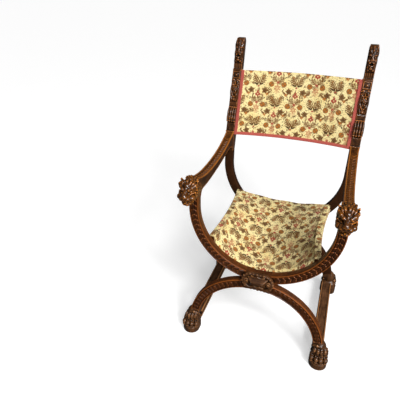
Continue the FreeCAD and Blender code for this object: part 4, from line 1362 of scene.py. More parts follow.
def model_lion():
    """A snarling lion's head: x across, y forward from the arm's end, z up from the head's middle."""
    clay = Clay((-36, -2, -58), (36, 103, 46), sizes().carving_step / MM)
    blob, rod, block = clay.blob, clay.rod, clay.block
    # mane mass, face, muzzle
    blob((0, 10, 0), (30.5, 30, 41), 3)
    blob((0, 28, 3), (28.5, 34, 38), 4)
    blob((0, 48, 2), (25, 30, 32), 5)
    blob((0, 66, -7), (20, 28, 14), 5)
    blob((0, 30, -32), (17, 32, 17), 5)
    # forehead and heavy slanting brows over deep sockets
    blob((0, 56, 24), (12, 15, 13), 4)
    blob((17, 68, 6.5), (11.5, 10.5, 8.6), 2.0, cut=True, both=True)
    blob((14.5, 60.5, 7.5), (5.8, 5.6, 4.6), 0.9, both=True)
    rod([(4.5, 76, 13), (11, 73, 18), (20, 66, 24), (28, 56, 29), (30, 44, 30)], [4.0, 5.4, 6.0, 5.0, 2.6],
        1.3, both=True)
    rod([(7, 71, 2.5), (15, 68, 0), (24, 59, 3)], [2.0, 2.6, 1.8], 1.2, both=True)
    rod([(3, 72, 22), (10, 68, 28), (18, 60, 33)], [1.2, 1.5, 1.0], 1.0, cut=True, both=True)
    rod([(0, 76, 19), (0, 72, 30)], [1.4, 0.9], 1.0, cut=True)
    # long nose, narrow between the brows and broad at the tip
    rod([(0, 70, 18), (0, 79, 9), (0, 88, 1)], [5.6, 7.4, 9.4], 2.4)
    blob((0, 91, -2), (12.0, 8.0, 7.2), 1.8)
    blob((5.6, 97.4, -4.6), (2.8, 3.4, 2.2), 0.7, cut=True, both=True)
    rod([(9.5, 83, 4), (12, 74, 2), (13, 66, -1)], [1.0, 1.4, 1.0], 1.0, cut=True, both=True)
    # whisker pads, upper lip, open mouth, lower lip
    blob((12, 82, -9), (10, 12, 8), 2.5, both=True)
    blob((22.5, 69, -11), (10.0, 12.5, 10.0), 1.4, both=True)
    rod([(0, 92, -10), (8, 89, -15), (17, 80, -18.5), (24, 66, -19)], [3.2, 3.8, 4.0, 3.2], 1.2, both=True)
    rod([(0, 99, -6), (0, 95, -14)], [0.9, 0.9], 0.6, cut=True)
    blob((0, 76, -26), (18, 23, 6.6), 1.2, cut=True)
    blob((0, 58, -28), (14, 18, 7.6), 1.2, cut=True)
    rod([(-17, 52, -34), (-13, 67, -36), (-6, 75, -37), (6, 75, -37), (13, 67, -36), (17, 52, -34)], 4.2, 1.2)
    blob((0, 56, -43), (12, 15, 8), 3)
    rod([(5, 82, -19), (5.4, 82, -26)], [2.0, 0.8], 0.6, both=True)
    rod([(12, 76, -20), (12.4, 76, -30)], [2.6, 0.9], 0.6, both=True)
    rod([(-8, 70, -33), (0, 78, -31), (8, 70, -33)], [2.4, 3.2, 2.4], 1.2)
    # cheek folds behind the pads
    rod([(28, 57, 4), (29.5, 54, -7), (27, 50, -20), (20, 46, -32)], [3.0, 4.2, 4.2, 2.6], 1.2, both=True)
    rod([(25, 62, 0), (28, 60, -8)], [1.4, 1.2], 1.0, cut=True, both=True)
    # ears
    rod([(22, 40, 29), (29, 36, 37)], [7.0, 4.0], 1.4, both=True)
    blob((26.0, 43, 34.5), (3.6, 4.4, 5.0), 1.0, cut=True, both=True, turn=-25)
    # tufts that flow back over the crown
    for x, lift, radius in ((0, 39.0, 5.0), (8.5, 37.5, 4.6), (16.5, 33.5, 4.6)):
        for start, bend in ((60, 1.0), (42, -1.0), (24, 1.0)):
            rod([(x, start, lift - 7 + (60 - start) * 0.12), (x + 2.4 * bend, start - 9, lift - 1.5),
                 (x + 3.4 * bend, start - 16, lift - 0.2), (x + 1.0 * bend, start - 22, lift - 3.0)],
                [radius * 0.5, radius, radius * 0.9, radius * 0.4], 0.9, both=x > 0)
    # locks down the sides, each curling at its end
    for row, (back, radius) in enumerate(((40, 4.6), (24, 5.0), (9, 4.8))):
        for k in range(9):
            angle, shift = math.radians(38 - (k + 0.5 * (row % 2)) * 15.5), math.radians(-9)
            grow = 1.0 - 0.16 * max(0.0, (back - 24) / 16)
            a = (27.2 * grow * math.cos(angle), back + 9, 37 * grow * math.sin(angle) - 2)
            b = (28.0 * math.cos(angle + shift), back, 38 * math.sin(angle + shift) - 3)
            c = (28.0 * math.cos(angle + 2.1 * shift), back - 8, 38 * math.sin(angle + 2.1 * shift) - 4)
            d = (28.4 * math.cos(angle + 2.2 * shift), back - 12, 38 * math.sin(angle + 2.0 * shift) - 2)
            rod([a, b, c, d], [radius * 0.45, radius, radius * 0.85, radius * 0.45], 0.9, both=True)
    for x, y, z in ((0, 62, -47), (7, 57, -48), (13, 48, -46), (5, 40, -50)):
        rod([(x, y, z + 8), (x * 1.1, y - 3, z)], [5.0, 2.6], 0.9, both=x > 0)
    block((-40, -6, -62), (40, 0, 50), 0, 0, cut=True)
    return clay


class ARMCHAIR_OT_lions(bpy.types.Operator):
    """Varnished lion heads at the front of the arms"""
    bl_idname = "armchair.lions"
    bl_label = "Lion heads"

    def execute(self, context):
        place = facing_front((258.0, -235.0, 700.0), (-32.9, 0.2, -53.6), (32.9, 99.5, 42.9))
        right = carve("lion_head_carved_right", model_lion(), place, wood("Lion head"))
        left = mirror_copy(right, "lion_head_carved_left")
        for piece, name in ((right, "right"), (left, "left")):
            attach(piece, body_of_node(f"lion_head_{name}"))
            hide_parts(f"lion_head_{name}")
        return {"FINISHED"}


# ---------------------------------------------------------------- paws

PAW_BASE, HEEL_ROUNDING, HEEL_LINE = 28.0, 26.0, -4.0


def model_paw():
    """A lion's paw on a rounded base: x across, y forward from the frame's middle, z up from the floor."""
    clay = Clay((-40, -34, -2), (40, 53, 116), sizes().carving_step / MM * 1.08)
    blob, rod, block = clay.blob, clay.rod, clay.block
    radius, front, edge = 35.0, 15.0, 2.0

    def base(x, y, z, grow=0.0, low=0.0, high=PAW_BASE):
        """The base's outline is a half disc at the toes, and a bar with rounded corners at the heel."""
        ahead = np.maximum(y - front, 0)
        aside = np.maximum(np.abs(x) - radius + HEEL_ROUNDING, 0)
        behind = np.sqrt(aside ** 2 + np.maximum(HEEL_LINE - y, 0) ** 2) - HEEL_ROUNDING
        distance = np.maximum(np.sqrt(x ** 2 + ahead ** 2) - radius, behind) - grow
        level = np.abs(z - (low + high) / 2) - (high - low) / 2
        q = np.stack(np.broadcast_arrays(distance, level)) + edge
        return np.sqrt((np.maximum(q, 0) ** 2).sum(axis=0)) + np.minimum(q.max(axis=0), 0) - edge

    clay.work(base, soft=0)
    clay.work(lambda x, y, z: base(x, y, z, -2.2, 23.0, 33.0), soft=0.6)
    # heel, instep and ankle up to the leg
    block((-32, -30, 18), (32, 4, 66), 20, 2)
    blob((0, 6, 46), (33, 30, 36), 5)
    blob((-3, 2, 84), (24, 23, 30), 5)
    block((-33.4, -15, 84), (3.0, 15, 111), 3.0, 3)
    # a cuff arches over the ankle
    rod([(-33, 10, 86), (-27, 17, 96), (-13, 21.5, 101), (2, 19, 97), (11, 13, 88)],
        [3.4, 4.4, 4.8, 4.4, 3.2], 1.2)
    rod([(-28, 19, 89), (-13, 24, 93), (3, 20, 89)], [1.4, 1.6, 1.4], 1.0, cut=True)
    # four fingers with two knuckles each over a dark gap, then the toe pads
    for x, out in ((-26.4, 6.0), (-8.9, 12.5), (8.9, 12.5), (26.4, 6.0)):
        rod([(x * 0.50 - 2, out + 1, 94), (x * 0.66 - 1, out + 9, 83), (x * 0.82, out + 13, 70),
             (x, out + 14, 54)], [5.0, 7.2, 7.6, 7.2], 1.2)
        blob((x * 0.74, out + 14.5, 76), (7.6, 9.0, 11.5), 1.0)
        blob((x, out + 25.0, 57), (8.6, 8.5, 4.8), 1.6, cut=True)
        blob((x, out + 21.5, 42.5), (9.8, 12.5, 10.4), 1.0)
        blob((x, out + 30.5, 34), (6.0, 5.2, 5.0), 1.4)
    for x in (-17.6, 0.0, 17.6):
        ahead = 36 - abs(x) * 0.34
        rod([(x, ahead, 31), (x, ahead, 50), (x * 0.72, ahead - 7, 82)], [2.2, 3.2, 2.0], 1.0, cut=True)
    # knuckles down both sides of the heel
    for x, y, z, size in ((24, -4, 70, 6.0), (27, -7, 56, 6.6), (28.5, -9, 42, 6.6)):
        blob((x, y, z), (size, size + 2.5, size), 2.4, both=True)
    block((-60, -60, -6), (60, 60, 0.0), 0, 0, cut=True)
    return clay


class ARMCHAIR_OT_paws(bpy.types.Operator):
    """Lion's paws under the frames"""
    bl_idname = "armchair.paws"
    bl_label = "Paws"

    def execute(self, context):
        place = facing_front((268.0, -220.0, 0.0), (-35.9, -30.0, 0.02), (35.9, 49.9, 113.0))
        front = carve("front_paw_carved_right", model_paw(), place, wood("Paw"))
        pieces = {"front_paw_right": front, "front_paw_left": mirror_copy(front, "front_paw_carved_left")}
        pieces["rear_paw_right"] = mirror_copy(front, "rear_paw_carved_right", 1)
        pieces["rear_paw_left"] = mirror_copy(pieces["front_paw_left"], "rear_paw_carved_left", 1)
        for node, piece in pieces.items():
            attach(piece, body_of_node(node))
            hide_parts(node)
        return {"FINISHED"}


# ---------------------------------------------------------------- back posts

# The front edge stands upright at POST_FRONT mm up to POST_BEND mm, and leans back above.
POST_FRONT, POST_BEND, POST_SLOPE = 205.0, 750.0, 103.0 / 370.0
POST_FOOT, POST_TOP, POST_HALF = 665.0, 1120.0, 18.0


def post_front(z):
    """Depth of the post's front edge at a height, in mm."""
    return POST_FRONT + POST_SLOPE * np.maximum(0.0, z - POST_BEND)


def post_back(z):
    """Depth of its rear edge: a parabola through its top, its waist and its foot."""
    t, waist = np.linspace(0, 1, 60), 0.8116
    depth, height = (a * (t - waist) * (t - 1) / waist + b * t * (t - 1) / (waist * (waist - 1))
                     + c * t * (t - waist) / (1 - waist)
                     for a, b, c in ((335.0, 257.0, 235.0), (POST_TOP, 750.0, POST_FOOT)))
    return np.interp(z, height[::-1], depth[::-1])


def model_post():
    """A back post: x across, y proud of its leaning front edge, z the height."""
    clay = Clay((-22, -58, 662), (22, 16, 1123), sizes().carving_step / MM * 1.05)
    blob, rod, block = clay.blob, clay.rod, clay.block
    edge = 1.6

    def body(x, y, z):
        depth = (post_back(z) - post_front(z)).astype(np.float32)
        rounding = 3.4 * np.clip((z - 1102.0) / 18.0, 0, 1) ** 2
        q = np.broadcast_arrays(np.abs(x) - POST_HALF + edge + rounding,
                                np.abs(y + depth / 2) - depth / 2 + edge + rounding * 0.7,
                                np.abs(z - (POST_TOP + POST_FOOT) / 2) - (POST_TOP - POST_FOOT) / 2 + edge)
        outside = np.sqrt(sum(np.maximum(v, 0) ** 2 for v in q))
        return outside + np.minimum(np.maximum(np.maximum(q[0], q[1]), q[2]), 0) - edge

    clay.work(body, soft=0)
    # double collar ring
    block((-19.2, -10, 749.5), (19.2, 3.4, 755.0), 1.6, 0.5)
    block((-18.8, -10, 741.5), (18.8, 1.8, 745.0), 1.2, 0.5)
    block((-16.4, -1.0, 759), (16.4, 0.9, 790), 0.8, 0.4)
    # four lobes with scalloped ends under a row of beads
    for x in (-14.6, -4.9, 4.9, 14.6):
        blob((x, -0.5, 826), (5.9, 13.5, 25), 0.8)
        blob((x, 3.0, 811), (5.8, 13.0, 15), 0.8)
        blob((x, 6.5, 799.5), (5.0, 8.0, 6.0), 0.8)
    for x in (-9.8, 0, 9.8):
        rod([(x, 15.5, 796), (x, 15.0, 815), (x, 10.5, 843)], [2.2, 1.8, 1.2], 0.6, cut=True)
    blob((0, 4.0, 790.0), (24, 7.0, 3.6), 0.8, cut=True)
    block((-17.6, -2, 846), (17.6, 2.4, 849), 1.0, 0.6)
    for x in np.linspace(-15.5, 15.5, 7):
        blob((x, 3.2, 852.5), (2.3, 2.3, 2.3), 0.5)
    block((-17.0, -2, 856), (17.0, 1.2, 872), 1.0, 0.5)
    # oval of leaf scrolls, rosette and bead
    blob((0, 5.5, 918), (15.0, 8.0, 42), 1.2, cut=True)
    for a0, a1 in ((-150, -30), (30, 150)):
        ring = [(15.0 * math.sin(math.radians(a)), 2.6, 918 + 42 * math.cos(math.radians(a)))
                for a in np.linspace(a0, a1, 12)]
        rod(ring, 3.8, 0.8)
    blob((0, 4.0, 885), (6.0, 6.5, 6.0), 1.0)
    rod([(3, 3.0, 894), (9, 4.6, 903), (12, 3.6, 914)], [2.2, 3.6, 2.0], 0.8, both=True)
    rod([(2, 1.0, 902), (3, 4.0, 911), (1.5, 4.4, 917)], [1.8, 2.8, 1.8], 0.8, both=True)
    blob((0, 4.6, 925), (6.4, 6.0, 6.4), 0.8)
    for k in range(6):
        a = math.radians(60 * k + 30)
        blob((8.0 * math.sin(a), 3.6, 925 + 8.0 * math.cos(a)), (4.4, 4.4, 4.4), 0.7)
    blob((0, 10.6, 925), (2.4, 2.4, 2.4), 0.6, cut=True)
    rod([(4, 3.0, 940), (10, 4.4, 942), (13, 4.0, 948), (9, 3.6, 952), (6, 3.2, 948)],
        [2.0, 2.7, 2.7, 2.3, 1.7], 0.8, both=True)
    rod([(0, 4.6, 944), (0, 5.0, 957)], [2.2, 3.0], 0.8)
    rod([(0, 3.4, 958), (9, 4.4, 961), (16, 3.4, 958)], [2.4, 3.0, 2.4], 0.8, both=True)
    # small framed square
    block((-15.5, -3, 966), (15.5, 2.4, 994.5), 1.2, 0.5)
    block((-11.5, 0.6, 970), (11.5, 5, 990.5), 0.8, 0.4, cut=True)
    block((-7.5, -2, 974), (7.5, 2.2, 986.5), 1.6, 0.5)
    blob((0, 2.6, 980.2), (3.2, 1.8, 3.2), 0.5)
    block((-18.6, -4, 996), (18.6, 2.6, 1000), 1.3, 0.5)
    # reeded neck
    block((-19, -7.0, 1003), (19, 12, 1026), 3.0, 1.5, cut=True)
    for x in (-14.4, -7.2, 0, 7.2, 14.4):
        rod([(x, -7.6, 1001), (x, -6.6, 1014), (x, -4.5, 1031)], [3.0, 3.2, 3.0], 0.8)
    # grotesque mask
    blob((0, -3, 1092), (20, 15.0, 27), 2.5)
    blob((0, 0, 1062), (19, 12.0, 24), 3)
    rod([(0, 9.6, 1090), (0, 10.4, 1102), (0, 5.5, 1115)], [2.8, 3.8, 2.4], 0.9)
    rod([(5, 9.0, 1091), (10, 7.8, 1101), (12.5, 3, 1112)], [2.6, 3.6, 2.2], 0.9, both=True)
    rod([(11, 6.8, 1089), (15.6, 3.2, 1097)], [2.4, 3.0], 0.9, both=True)
    blob((8.2, 10.4, 1078.5), (5.6, 4.6, 4.6), 1.0, cut=True, both=True)
    blob((8.0, 6.2, 1078.5), (3.6, 2.8, 2.9), 0.6, both=True)
    rod([(2.6, 11.0, 1083), (8.5, 10.6, 1086.5), (15, 6.4, 1086)], [2.7, 3.2, 2.0], 0.8, both=True)
    rod([(0, 10.4, 1086), (0, 14.0, 1071)], [3.2, 4.4], 1.0)
    blob((4.8, 11.4, 1069.0), (3.2, 3.4, 3.0), 0.7, both=True)
    blob((11.6, 6.6, 1067), (5.6, 6.0, 6.8), 1.2, both=True)
    rod([(1.5, 11.4, 1063), (7, 10.4, 1060.5), (13, 5.6, 1055)], [2.6, 3.2, 2.0], 0.8, both=True)
    blob((0, 10.0, 1054), (7.8, 8.0, 5.0), 0.8, cut=True)
    rod([(7, 6.4, 1049.5), (0, 9.0, 1047.5), (-7, 6.4, 1049.5)], 2.6, 0.8)
    blob((0, 7.6, 1040), (6.6, 6.2, 5.8), 1.0)
    blob((11, 2.8, 1047), (4.4, 4.6, 8.0), 1.2, both=True)
    blob((8.5, 1.6, 1034), (4.4, 4.2, 5.0), 1.0, both=True)
    for side in (-1, 1):
        rod([(side * 18, -8, 1112), (side * 18, -6, 1060), (side * 18.4, -4, 1036)], 1.3, 0.8, cut=True)
    return clay


class ARMCHAIR_OT_posts(bpy.types.Operator):
    """Leaning back posts with lobes, scrolls, a framed square, a reeded neck and a mask"""
    bl_idname = "armchair.posts"
    bl_label = "Back posts"

    def execute(self, context):
        def place(p):
            x, z = np.clip(p[:, 0], -18.6, 20.6), np.clip(p[:, 2], 665.05, 1119.9)
            return columns(258.0 + x, post_front(z) - p[:, 1], z)

        right = carve("rear_post_carved_right", model_post(), place, wood("Back post"))
        left = mirror_copy(right, "rear_post_carved_left")
        for piece, name in ((right, "right"), (left, "left")):
            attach(piece, body_of_node(f"rear_post_{name}"))
            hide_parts(f"rear_post_{name}")
        return {"FINISHED"}


# ---------------------------------------------------------------- cartouche

def model_cartouche():
    """A strapwork plate with volutes and a bevelled boss: x across, y forward, z up from its middle."""
    clay = Clay((-66, -2, -43), (66, 27, 43), sizes().carving_step / MM * 0.92)

    blob, rod = clay.blob, clay.rod
    flat, strap_middle = 23.0, 35.0

    def outwards(x, z):
        """Distance from the plate's middle line, which runs straight across it."""
        return np.sqrt(np.maximum(np.abs(x) - flat, 0) ** 2 + z ** 2)

    def pill(x, y, z, radius, low, high, edge=1.4):
        away = outwards(x, z) - radius + edge
        deep = np.abs(y - (low + high) / 2) - (high - low) / 2 + edge
        away, deep = np.broadcast_arrays(away, deep)
        return (np.sqrt(np.maximum(away, 0) ** 2 + np.maximum(deep, 0) ** 2)
                + np.minimum(np.maximum(away, deep), 0) - edge)

    clay.work(lambda x, y, z: pill(x, y, z, 38.5, 0.0, 6.2), soft=0)
    clay.work(lambda x, y, z: pill(x, y, z, 29.0, 2.6, 14.0), soft=0.8, cut=True)

    def ring(x, y, z, radius, level, thick):
        """A round bar that runs round the plate."""
        return np.sqrt((outwards(x, z) - radius) ** 2 + (y - level) ** 2) - thick

    clay.work(lambda x, y, z: ring(x, y, z, 32.5, 6.0, 5.2), soft=1.2)
    clay.work(lambda x, y, z: ring(x, y, z, 30.5, 12.0, 1.5), soft=0.6, cut=True)
    # nodules along the strap
    half_way = 2 * flat + math.pi * strap_middle
    for k in range(24):
        run, side = (k + 0.5) * half_way / 12, 1
        if run > half_way:
            run, side = run - half_way, -1
        a = max(0.0, run - 2 * flat) / strap_middle
        x = side * (min(run, 2 * flat) - flat + strap_middle * math.sin(a))
        z = side * strap_middle * math.cos(a)
        big = 4.6 if k % 2 else 3.4
        blob((x, 8.6, z), (big, big * 0.95, big * 0.9), 0.9)
    # volutes left and right of the boss
    for side in (-1, 1):
        turns = [(side * (43 - (12.5 - a * 1.25) * math.cos(a) * 0.95), 7.6 + a * 0.25,
                  -4 + (12.5 - a * 1.25) * math.sin(a)) for a in np.linspace(0.4, 7.2, 30)]
        rod(turns, 2.7, 0.8)
        blob((side * 43, 9.0, -4), (4.2, 3.6, 4.2), 0.8)
    rod([(-24, 7.5, 24), (-12, 9.5, 21), (0, 10.2, 25), (12, 9.5, 21), (24, 7.5, 24)],
        [2.4, 3.2, 3.6, 3.2, 2.4], 0.9)
    rod([(-22, 7.5, -25), (-10, 9.5, -21), (0, 9.8, -25), (10, 9.5, -21), (22, 7.5, -25)],
        [2.2, 3.0, 3.2, 3.0, 2.2], 0.9)

    def boss(x, y, z):
        slope = np.clip((y - 6.0) / 18.0, 0, 1)
        half_x = 29.0 - 14.0 * slope + (z + 17.5) * 0.26
        top, bottom = 18.0 - 13.0 * slope, 17.5 - 14.0 * slope
        return np.maximum(np.maximum(np.maximum(np.abs(x) - half_x, z - top), -z - bottom), y - 23.6) * 0.86

    clay.work(boss, soft=0.7)
    return clay


class ARMCHAIR_OT_cartouche(bpy.types.Operator):
    """Carved cover of the front crossing"""
    bl_idname = "armchair.cartouche"
    bl_label = "Cartouche"

    def execute(self, context):
        place = facing_front((0.0, -235.3, 342.5), (-62.9, 0.0, -39.9), (62.9, 23.9, 39.9))
        piece = carve("front_cartouche_carved", model_cartouche(), place, wood("Cartouche"), (3, 12))
        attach(piece, body_of_node("front_cartouche"))
        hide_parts("front_cartouche")
        return {"FINISHED"}


# ---------------------------------------------------------------- seat, back and braid

CLOTH_THICKNESS = 0.0028
# In mm: how far a rail's middle is from the chair's, the radius of its curve, and on either side of that
# middle and above the floor, where the cloth's face lies on it.
RAIL_AWAY, RAIL_CURVE = 197.04 - 13.0, 1622.7
RAIL_OUTSIDE, RAIL_INSIDE, RAIL_TOP = 13.3, 10.3, 478.3
# The seat's free edges lie at plus and minus SEAT_EDGE; each flap hangs to FLAP_LOW and bears its braid.
SEAT_DEPTH, SEAT_EDGE, FRONT_SAG, REAR_SAG = 406.0, 202.6, 103.8, 18.0
FLAP_LOW, FLAP_BRAID = 445.2, 451.5
# The back's bow is measured over BACK_HALF, and its front ends at BACK_EDGE, where it turns back.
BACK_HALF, BACK_EDGE, BACK_SAG = 239.7, 239.4, 28.0
BACK_LOW, BACK_HIGH = 740.2, 998.8
SIDE_BRAID, BOTTOM_BRAID, BOTTOM_BRAID_HALF = 233.2, 746.5, 226.4


def cloth(name, surface, uv):
    """A sheet with the given upper surface (rows x columns x 3) and the same sheet offset inwards."""
    rows, across = surface.shape[:2]
    normal = np.cross(np.gradient(surface, axis=1), np.gradient(surface, axis=0))
    normal /= np.linalg.norm(normal, axis=2)[..., None]
    points = np.concatenate([surface, surface - normal * CLOTH_THICKNESS]).reshape(-1, 3)
    n = rows * across
    cells, rim = grid(rows, across)
    faces = []
    for a, b, c, d in cells:
        faces += [[a, b, c, d], [n + a, n + d, n + c, n + b]]
    faces += [[b, a, n + a, n + b] for a, b in zip(rim, rim[1:] + rim[:1])]
    piece = new_piece(name, points, faces, np.concatenate([uv, uv]).reshape(-1, 2))
    turn_outwards(piece)
    return smooth(piece, 55)


def rail_middle(y):
    """How far from the chair's middle a seat rail's own middle lies, in mm."""
    return RAIL_AWAY + RAIL_CURVE - np.sqrt(RAIL_CURVE ** 2 - y ** 2)


def seat_outline(y, sag, drop):
    """Half of the seat's upper surface across the chair, in mm, from the flap's lower edge to the middle.

    The cloth hangs straight down the rail's inner side by the drop before it slings across.
    """
    rail = float(rail_middle(y))
    out, edge, top = rail + RAIL_OUTSIDE, rail - RAIL_INSIDE, RAIL_TOP
    corner, slant = 4.0, 1.2
    points = [(out, z) for z in np.linspace(FLAP_LOW, top - corner, 7)]
    points += [(out - corner + corner * math.cos(a), top - corner + corner * math.sin(a))
               for a in np.radians(np.linspace(15, 90, 6))]
    points += [(x, top) for x in np.linspace(out - corner, edge, 6)[1:-1]]
    points += [(edge - slant * t, top - drop * t) for t in (0.0, 0.5)]
    edge -= slant
    hang = sag - drop
    radius = (edge ** 2 + hang ** 2) / (2 * hang)
    limit = math.asin(min(1.0, edge / radius))
    points += [(radius * math.sin(a), top - sag + radius * (1 - math.cos(a)))
               for a in np.linspace(limit, 0, 34)]
    return points


def seat_row(y):
    """The seat's upper surface across the chair at one depth, in mm."""
    share = (y + SEAT_DEPTH / 2) / SEAT_DEPTH
    fall = (1 + math.cos(math.pi * share)) / 2
    half = np.array(seat_outline(y, REAR_SAG + (FRONT_SAG - REAR_SAG) * fall, 1.0 + 8.0 * fall))
    x, z = np.concatenate([half * (-1, 1), half[::-1][1:]]).T
    # The free edges ripple a little, and the middle settles unevenly.
    inner = np.clip((186.0 - np.abs(x)) / 60.0, 0, 1)
    edge = math.exp(-((SEAT_DEPTH / 2 - abs(y)) / 26.0) ** 2)
    ripple = 1.6 * np.sin(x / 21.0 + 0.6) * edge + 1.0 * np.sin(x / 37.0 + y / 60.0)
    z = z + inner * ripple * 0.8
    # The front hem rolls down behind the frame.
    slung = np.clip((187.0 - np.abs(x)) / 3.0, 0, 1)
    z = z - slung * 15.0 * np.clip((-194.0 - y) / 8.6, 0, 1) ** 1.8
    return columns(x, y + inner * edge * np.sign(y) * (0.8 * np.sin(x / 17.0) - 1.2), z)


def laid_out(surface):
    """A sheet's surface measured flat: how far each point lies across it from the middle, and down it."""
    run = lengths(surface)
    run -= run[:, -1:] / 2
    return run, lengths(surface[:, surface.shape[1] // 2])


class ARMCHAIR_OT_seat(bpy.types.Operator):
    """Slung tapestry seat, wrapped over the rails, with braid along its flaps"""
    bl_idname = "armchair.seat"
    bl_label = "Seat"

    def execute(self, context):
        depths = np.concatenate([np.linspace(-SEAT_EDGE, -190, 9), np.linspace(-184, SEAT_EDGE, 62)])
        surface = np.array([seat_row(y) for y in depths]) * MM
        run, depth = laid_out(surface)
        # The flowers point to the front edge.
        seat = cloth("seat_tapestry", surface, columns(-run + 0.012, 0.065 - depth[:, None]))
        paint(seat, tapestry())
        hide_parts("seat_cloth")
        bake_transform(seat)
        y = np.linspace(-SEAT_EDGE, SEAT_EDGE, 60)
        for name, side in SIDES.items():
            path = columns(side * (rail_middle(y) + RAIL_OUTSIDE + 0.4), y, FLAP_BRAID) * MM
            strip = braid_strip(f"seat_braid_woven_{name}", path, (0, 0, 1), (side, 0, 0), "Cream galloon")
            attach(strip, body_of_node(f"seat_braid_{name}"))
            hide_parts(f"seat_braid_{name}")
        return {"FINISHED"}


BRAID_WIDTH, BRAID_THICKNESS = 0.0128, 0.0018


def braid_strip(name, path, across, outward, finish):
    """Braid along a path: flat and slightly domed, with a row of stitches beside each edge."""
    half, thick, seam = BRAID_WIDTH / 2, BRAID_THICKNESS, BRAID_WIDTH / 2 - 0.0016
    section = mirrored([(-half, 0.0), (-half, thick * 0.55), (-half + 0.0006, thick * 0.85),
                        (-seam, thick * 0.80), (-half + 0.0026, thick * 0.98), (0.0, thick)])

    def outline(u, t):
        return u * 0.00042 * math.sin(math.pi * (0.12 + 0.76 * t)), (t - 0.5) * 0.0030

    def height(u, t):
        return 0.0005 * math.sqrt(max(0.0, 1 - u * u)) * math.sin(math.pi * t) ** 0.5

    across, outward = np.array(across, float), np.array(outward, float)
    parts = [paint(sweep(name, path, across, outward, section), twill(finish))]
    stitch = relief(name + "_stitch", outline, height, 5, 6, sole=-0.0002)
    for place in (-seam, seam):
        parts.append(repeat_along(f"{name}_seam", path + across * place + outward * thick * 0.85, stitch,
                                  sizes().stitch_pitch, outward, thread(), 0.08, 11))
    bpy.data.objects.remove(stitch)
    return join(name, parts)


def back_line(x, z):
    """The back cloth's front face at a place across and a height, in mm."""
    radius = (BACK_HALF ** 2 + BACK_SAG ** 2) / (2 * BACK_SAG)
    start = POST_FRONT + 4.0 - POST_SLOPE * 10.0
    return start + BACK_SAG - radius + np.sqrt(radius ** 2 - x ** 2) + POST_SLOPE * (z - 740.0)


def back_row(z):
    """The back's front face across the chair at one height, with both ends turned back, in mm."""
    x = np.linspace(-BACK_EDGE, BACK_EDGE, 84)
    front = back_line(x, z)
    settle = 1.2 * np.sin(x / 48.0 + z / 70.0) * np.clip((200 - np.abs(x)) / 60, 0, 1)
    turned = columns(BACK_EDGE, front[-1] + np.arange(1, 7) * 2.6, z)
    return np.concatenate([turned[::-1] * (-1, 1, 1), columns(x, front + settle, z), turned])


class ARMCHAIR_OT_back(bpy.types.Operator):
    """Slung tapestry back between the posts, with stitched braid round three sides"""
    bl_idname = "armchair.back"
    bl_label = "Back"

    def execute(self, context):
        surface = np.array([back_row(z) for z in np.linspace(BACK_LOW, BACK_HIGH, 44)]) * MM
        run, height = laid_out(surface)
        back = cloth("back_tapestry", surface, columns(run + 0.008, height[:, None] + 0.05))
        paint(back, tapestry())
        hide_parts("back_cloth")
        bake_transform(back)
        lean = np.array([0, POST_SLOPE, 1.0]) / math.hypot(POST_SLOPE, 1)
        forward = (0, -lean[2], lean[1])
        z = np.linspace(BACK_LOW + 0.2, BACK_HIGH, 40)
        for name, side in SIDES.items():
            x = side * SIDE_BRAID
            path = columns(x, back_line(x, z) - 0.6, z) * MM
            strip = braid_strip(f"back_braid_woven_{name}", path, (side, 0, 0), forward, "Coral braid")
            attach(strip, body_of_node(f"back_braid_{name}"))
            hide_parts(f"back_braid_{name}")
        x = np.linspace(-BOTTOM_BRAID_HALF, BOTTOM_BRAID_HALF, 70)
        path = columns(x, back_line(x, BOTTOM_BRAID) - 0.6, BOTTOM_BRAID) * MM
        strip = braid_strip("back_braid_woven_bottom", path, lean, forward, "Coral braid")
        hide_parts("back_braid_bottom")
        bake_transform(strip)
        return {"FINISHED"}


# ---------------------------------------------------------------- stage

WORLD_LIGHT = 0.06
# The floor looks white but throws little light back up, so the undersides stay dark.
FLOOR_SEEN, FLOOR_GLOW, FLOOR_ALBEDO = (0.62, 0.64), 0.50, 0.10
# Name, kind, place, target, size (for the sun its angle) and power of each light.
LIGHTS = (("key", "AREA", (1.9, -2.1, 2.8), (0.05, -0.1, 0.6), 0.55, 58.0),
          ("brow", "AREA", (0.35, -1.7, 2.5), (0.0, -0.2, 0.6), 0.25, 12.0),
          ("sky", "SUN", (1.45, -1.55, 1.7), (0.0, 0.0, 0.0), math.radians(50), 3.55))
# The view: lens in mm, pitch and roll in degrees, level direction and place.
LENS, PITCH, ROLL = 35.58, 29.451, 0.373
LEVEL, EYE = (-0.3444, 0.9388, 0.0), (0.1889, -1.3855, 1.3374)


def grey(value):
    return (value, value, value, 1.0)


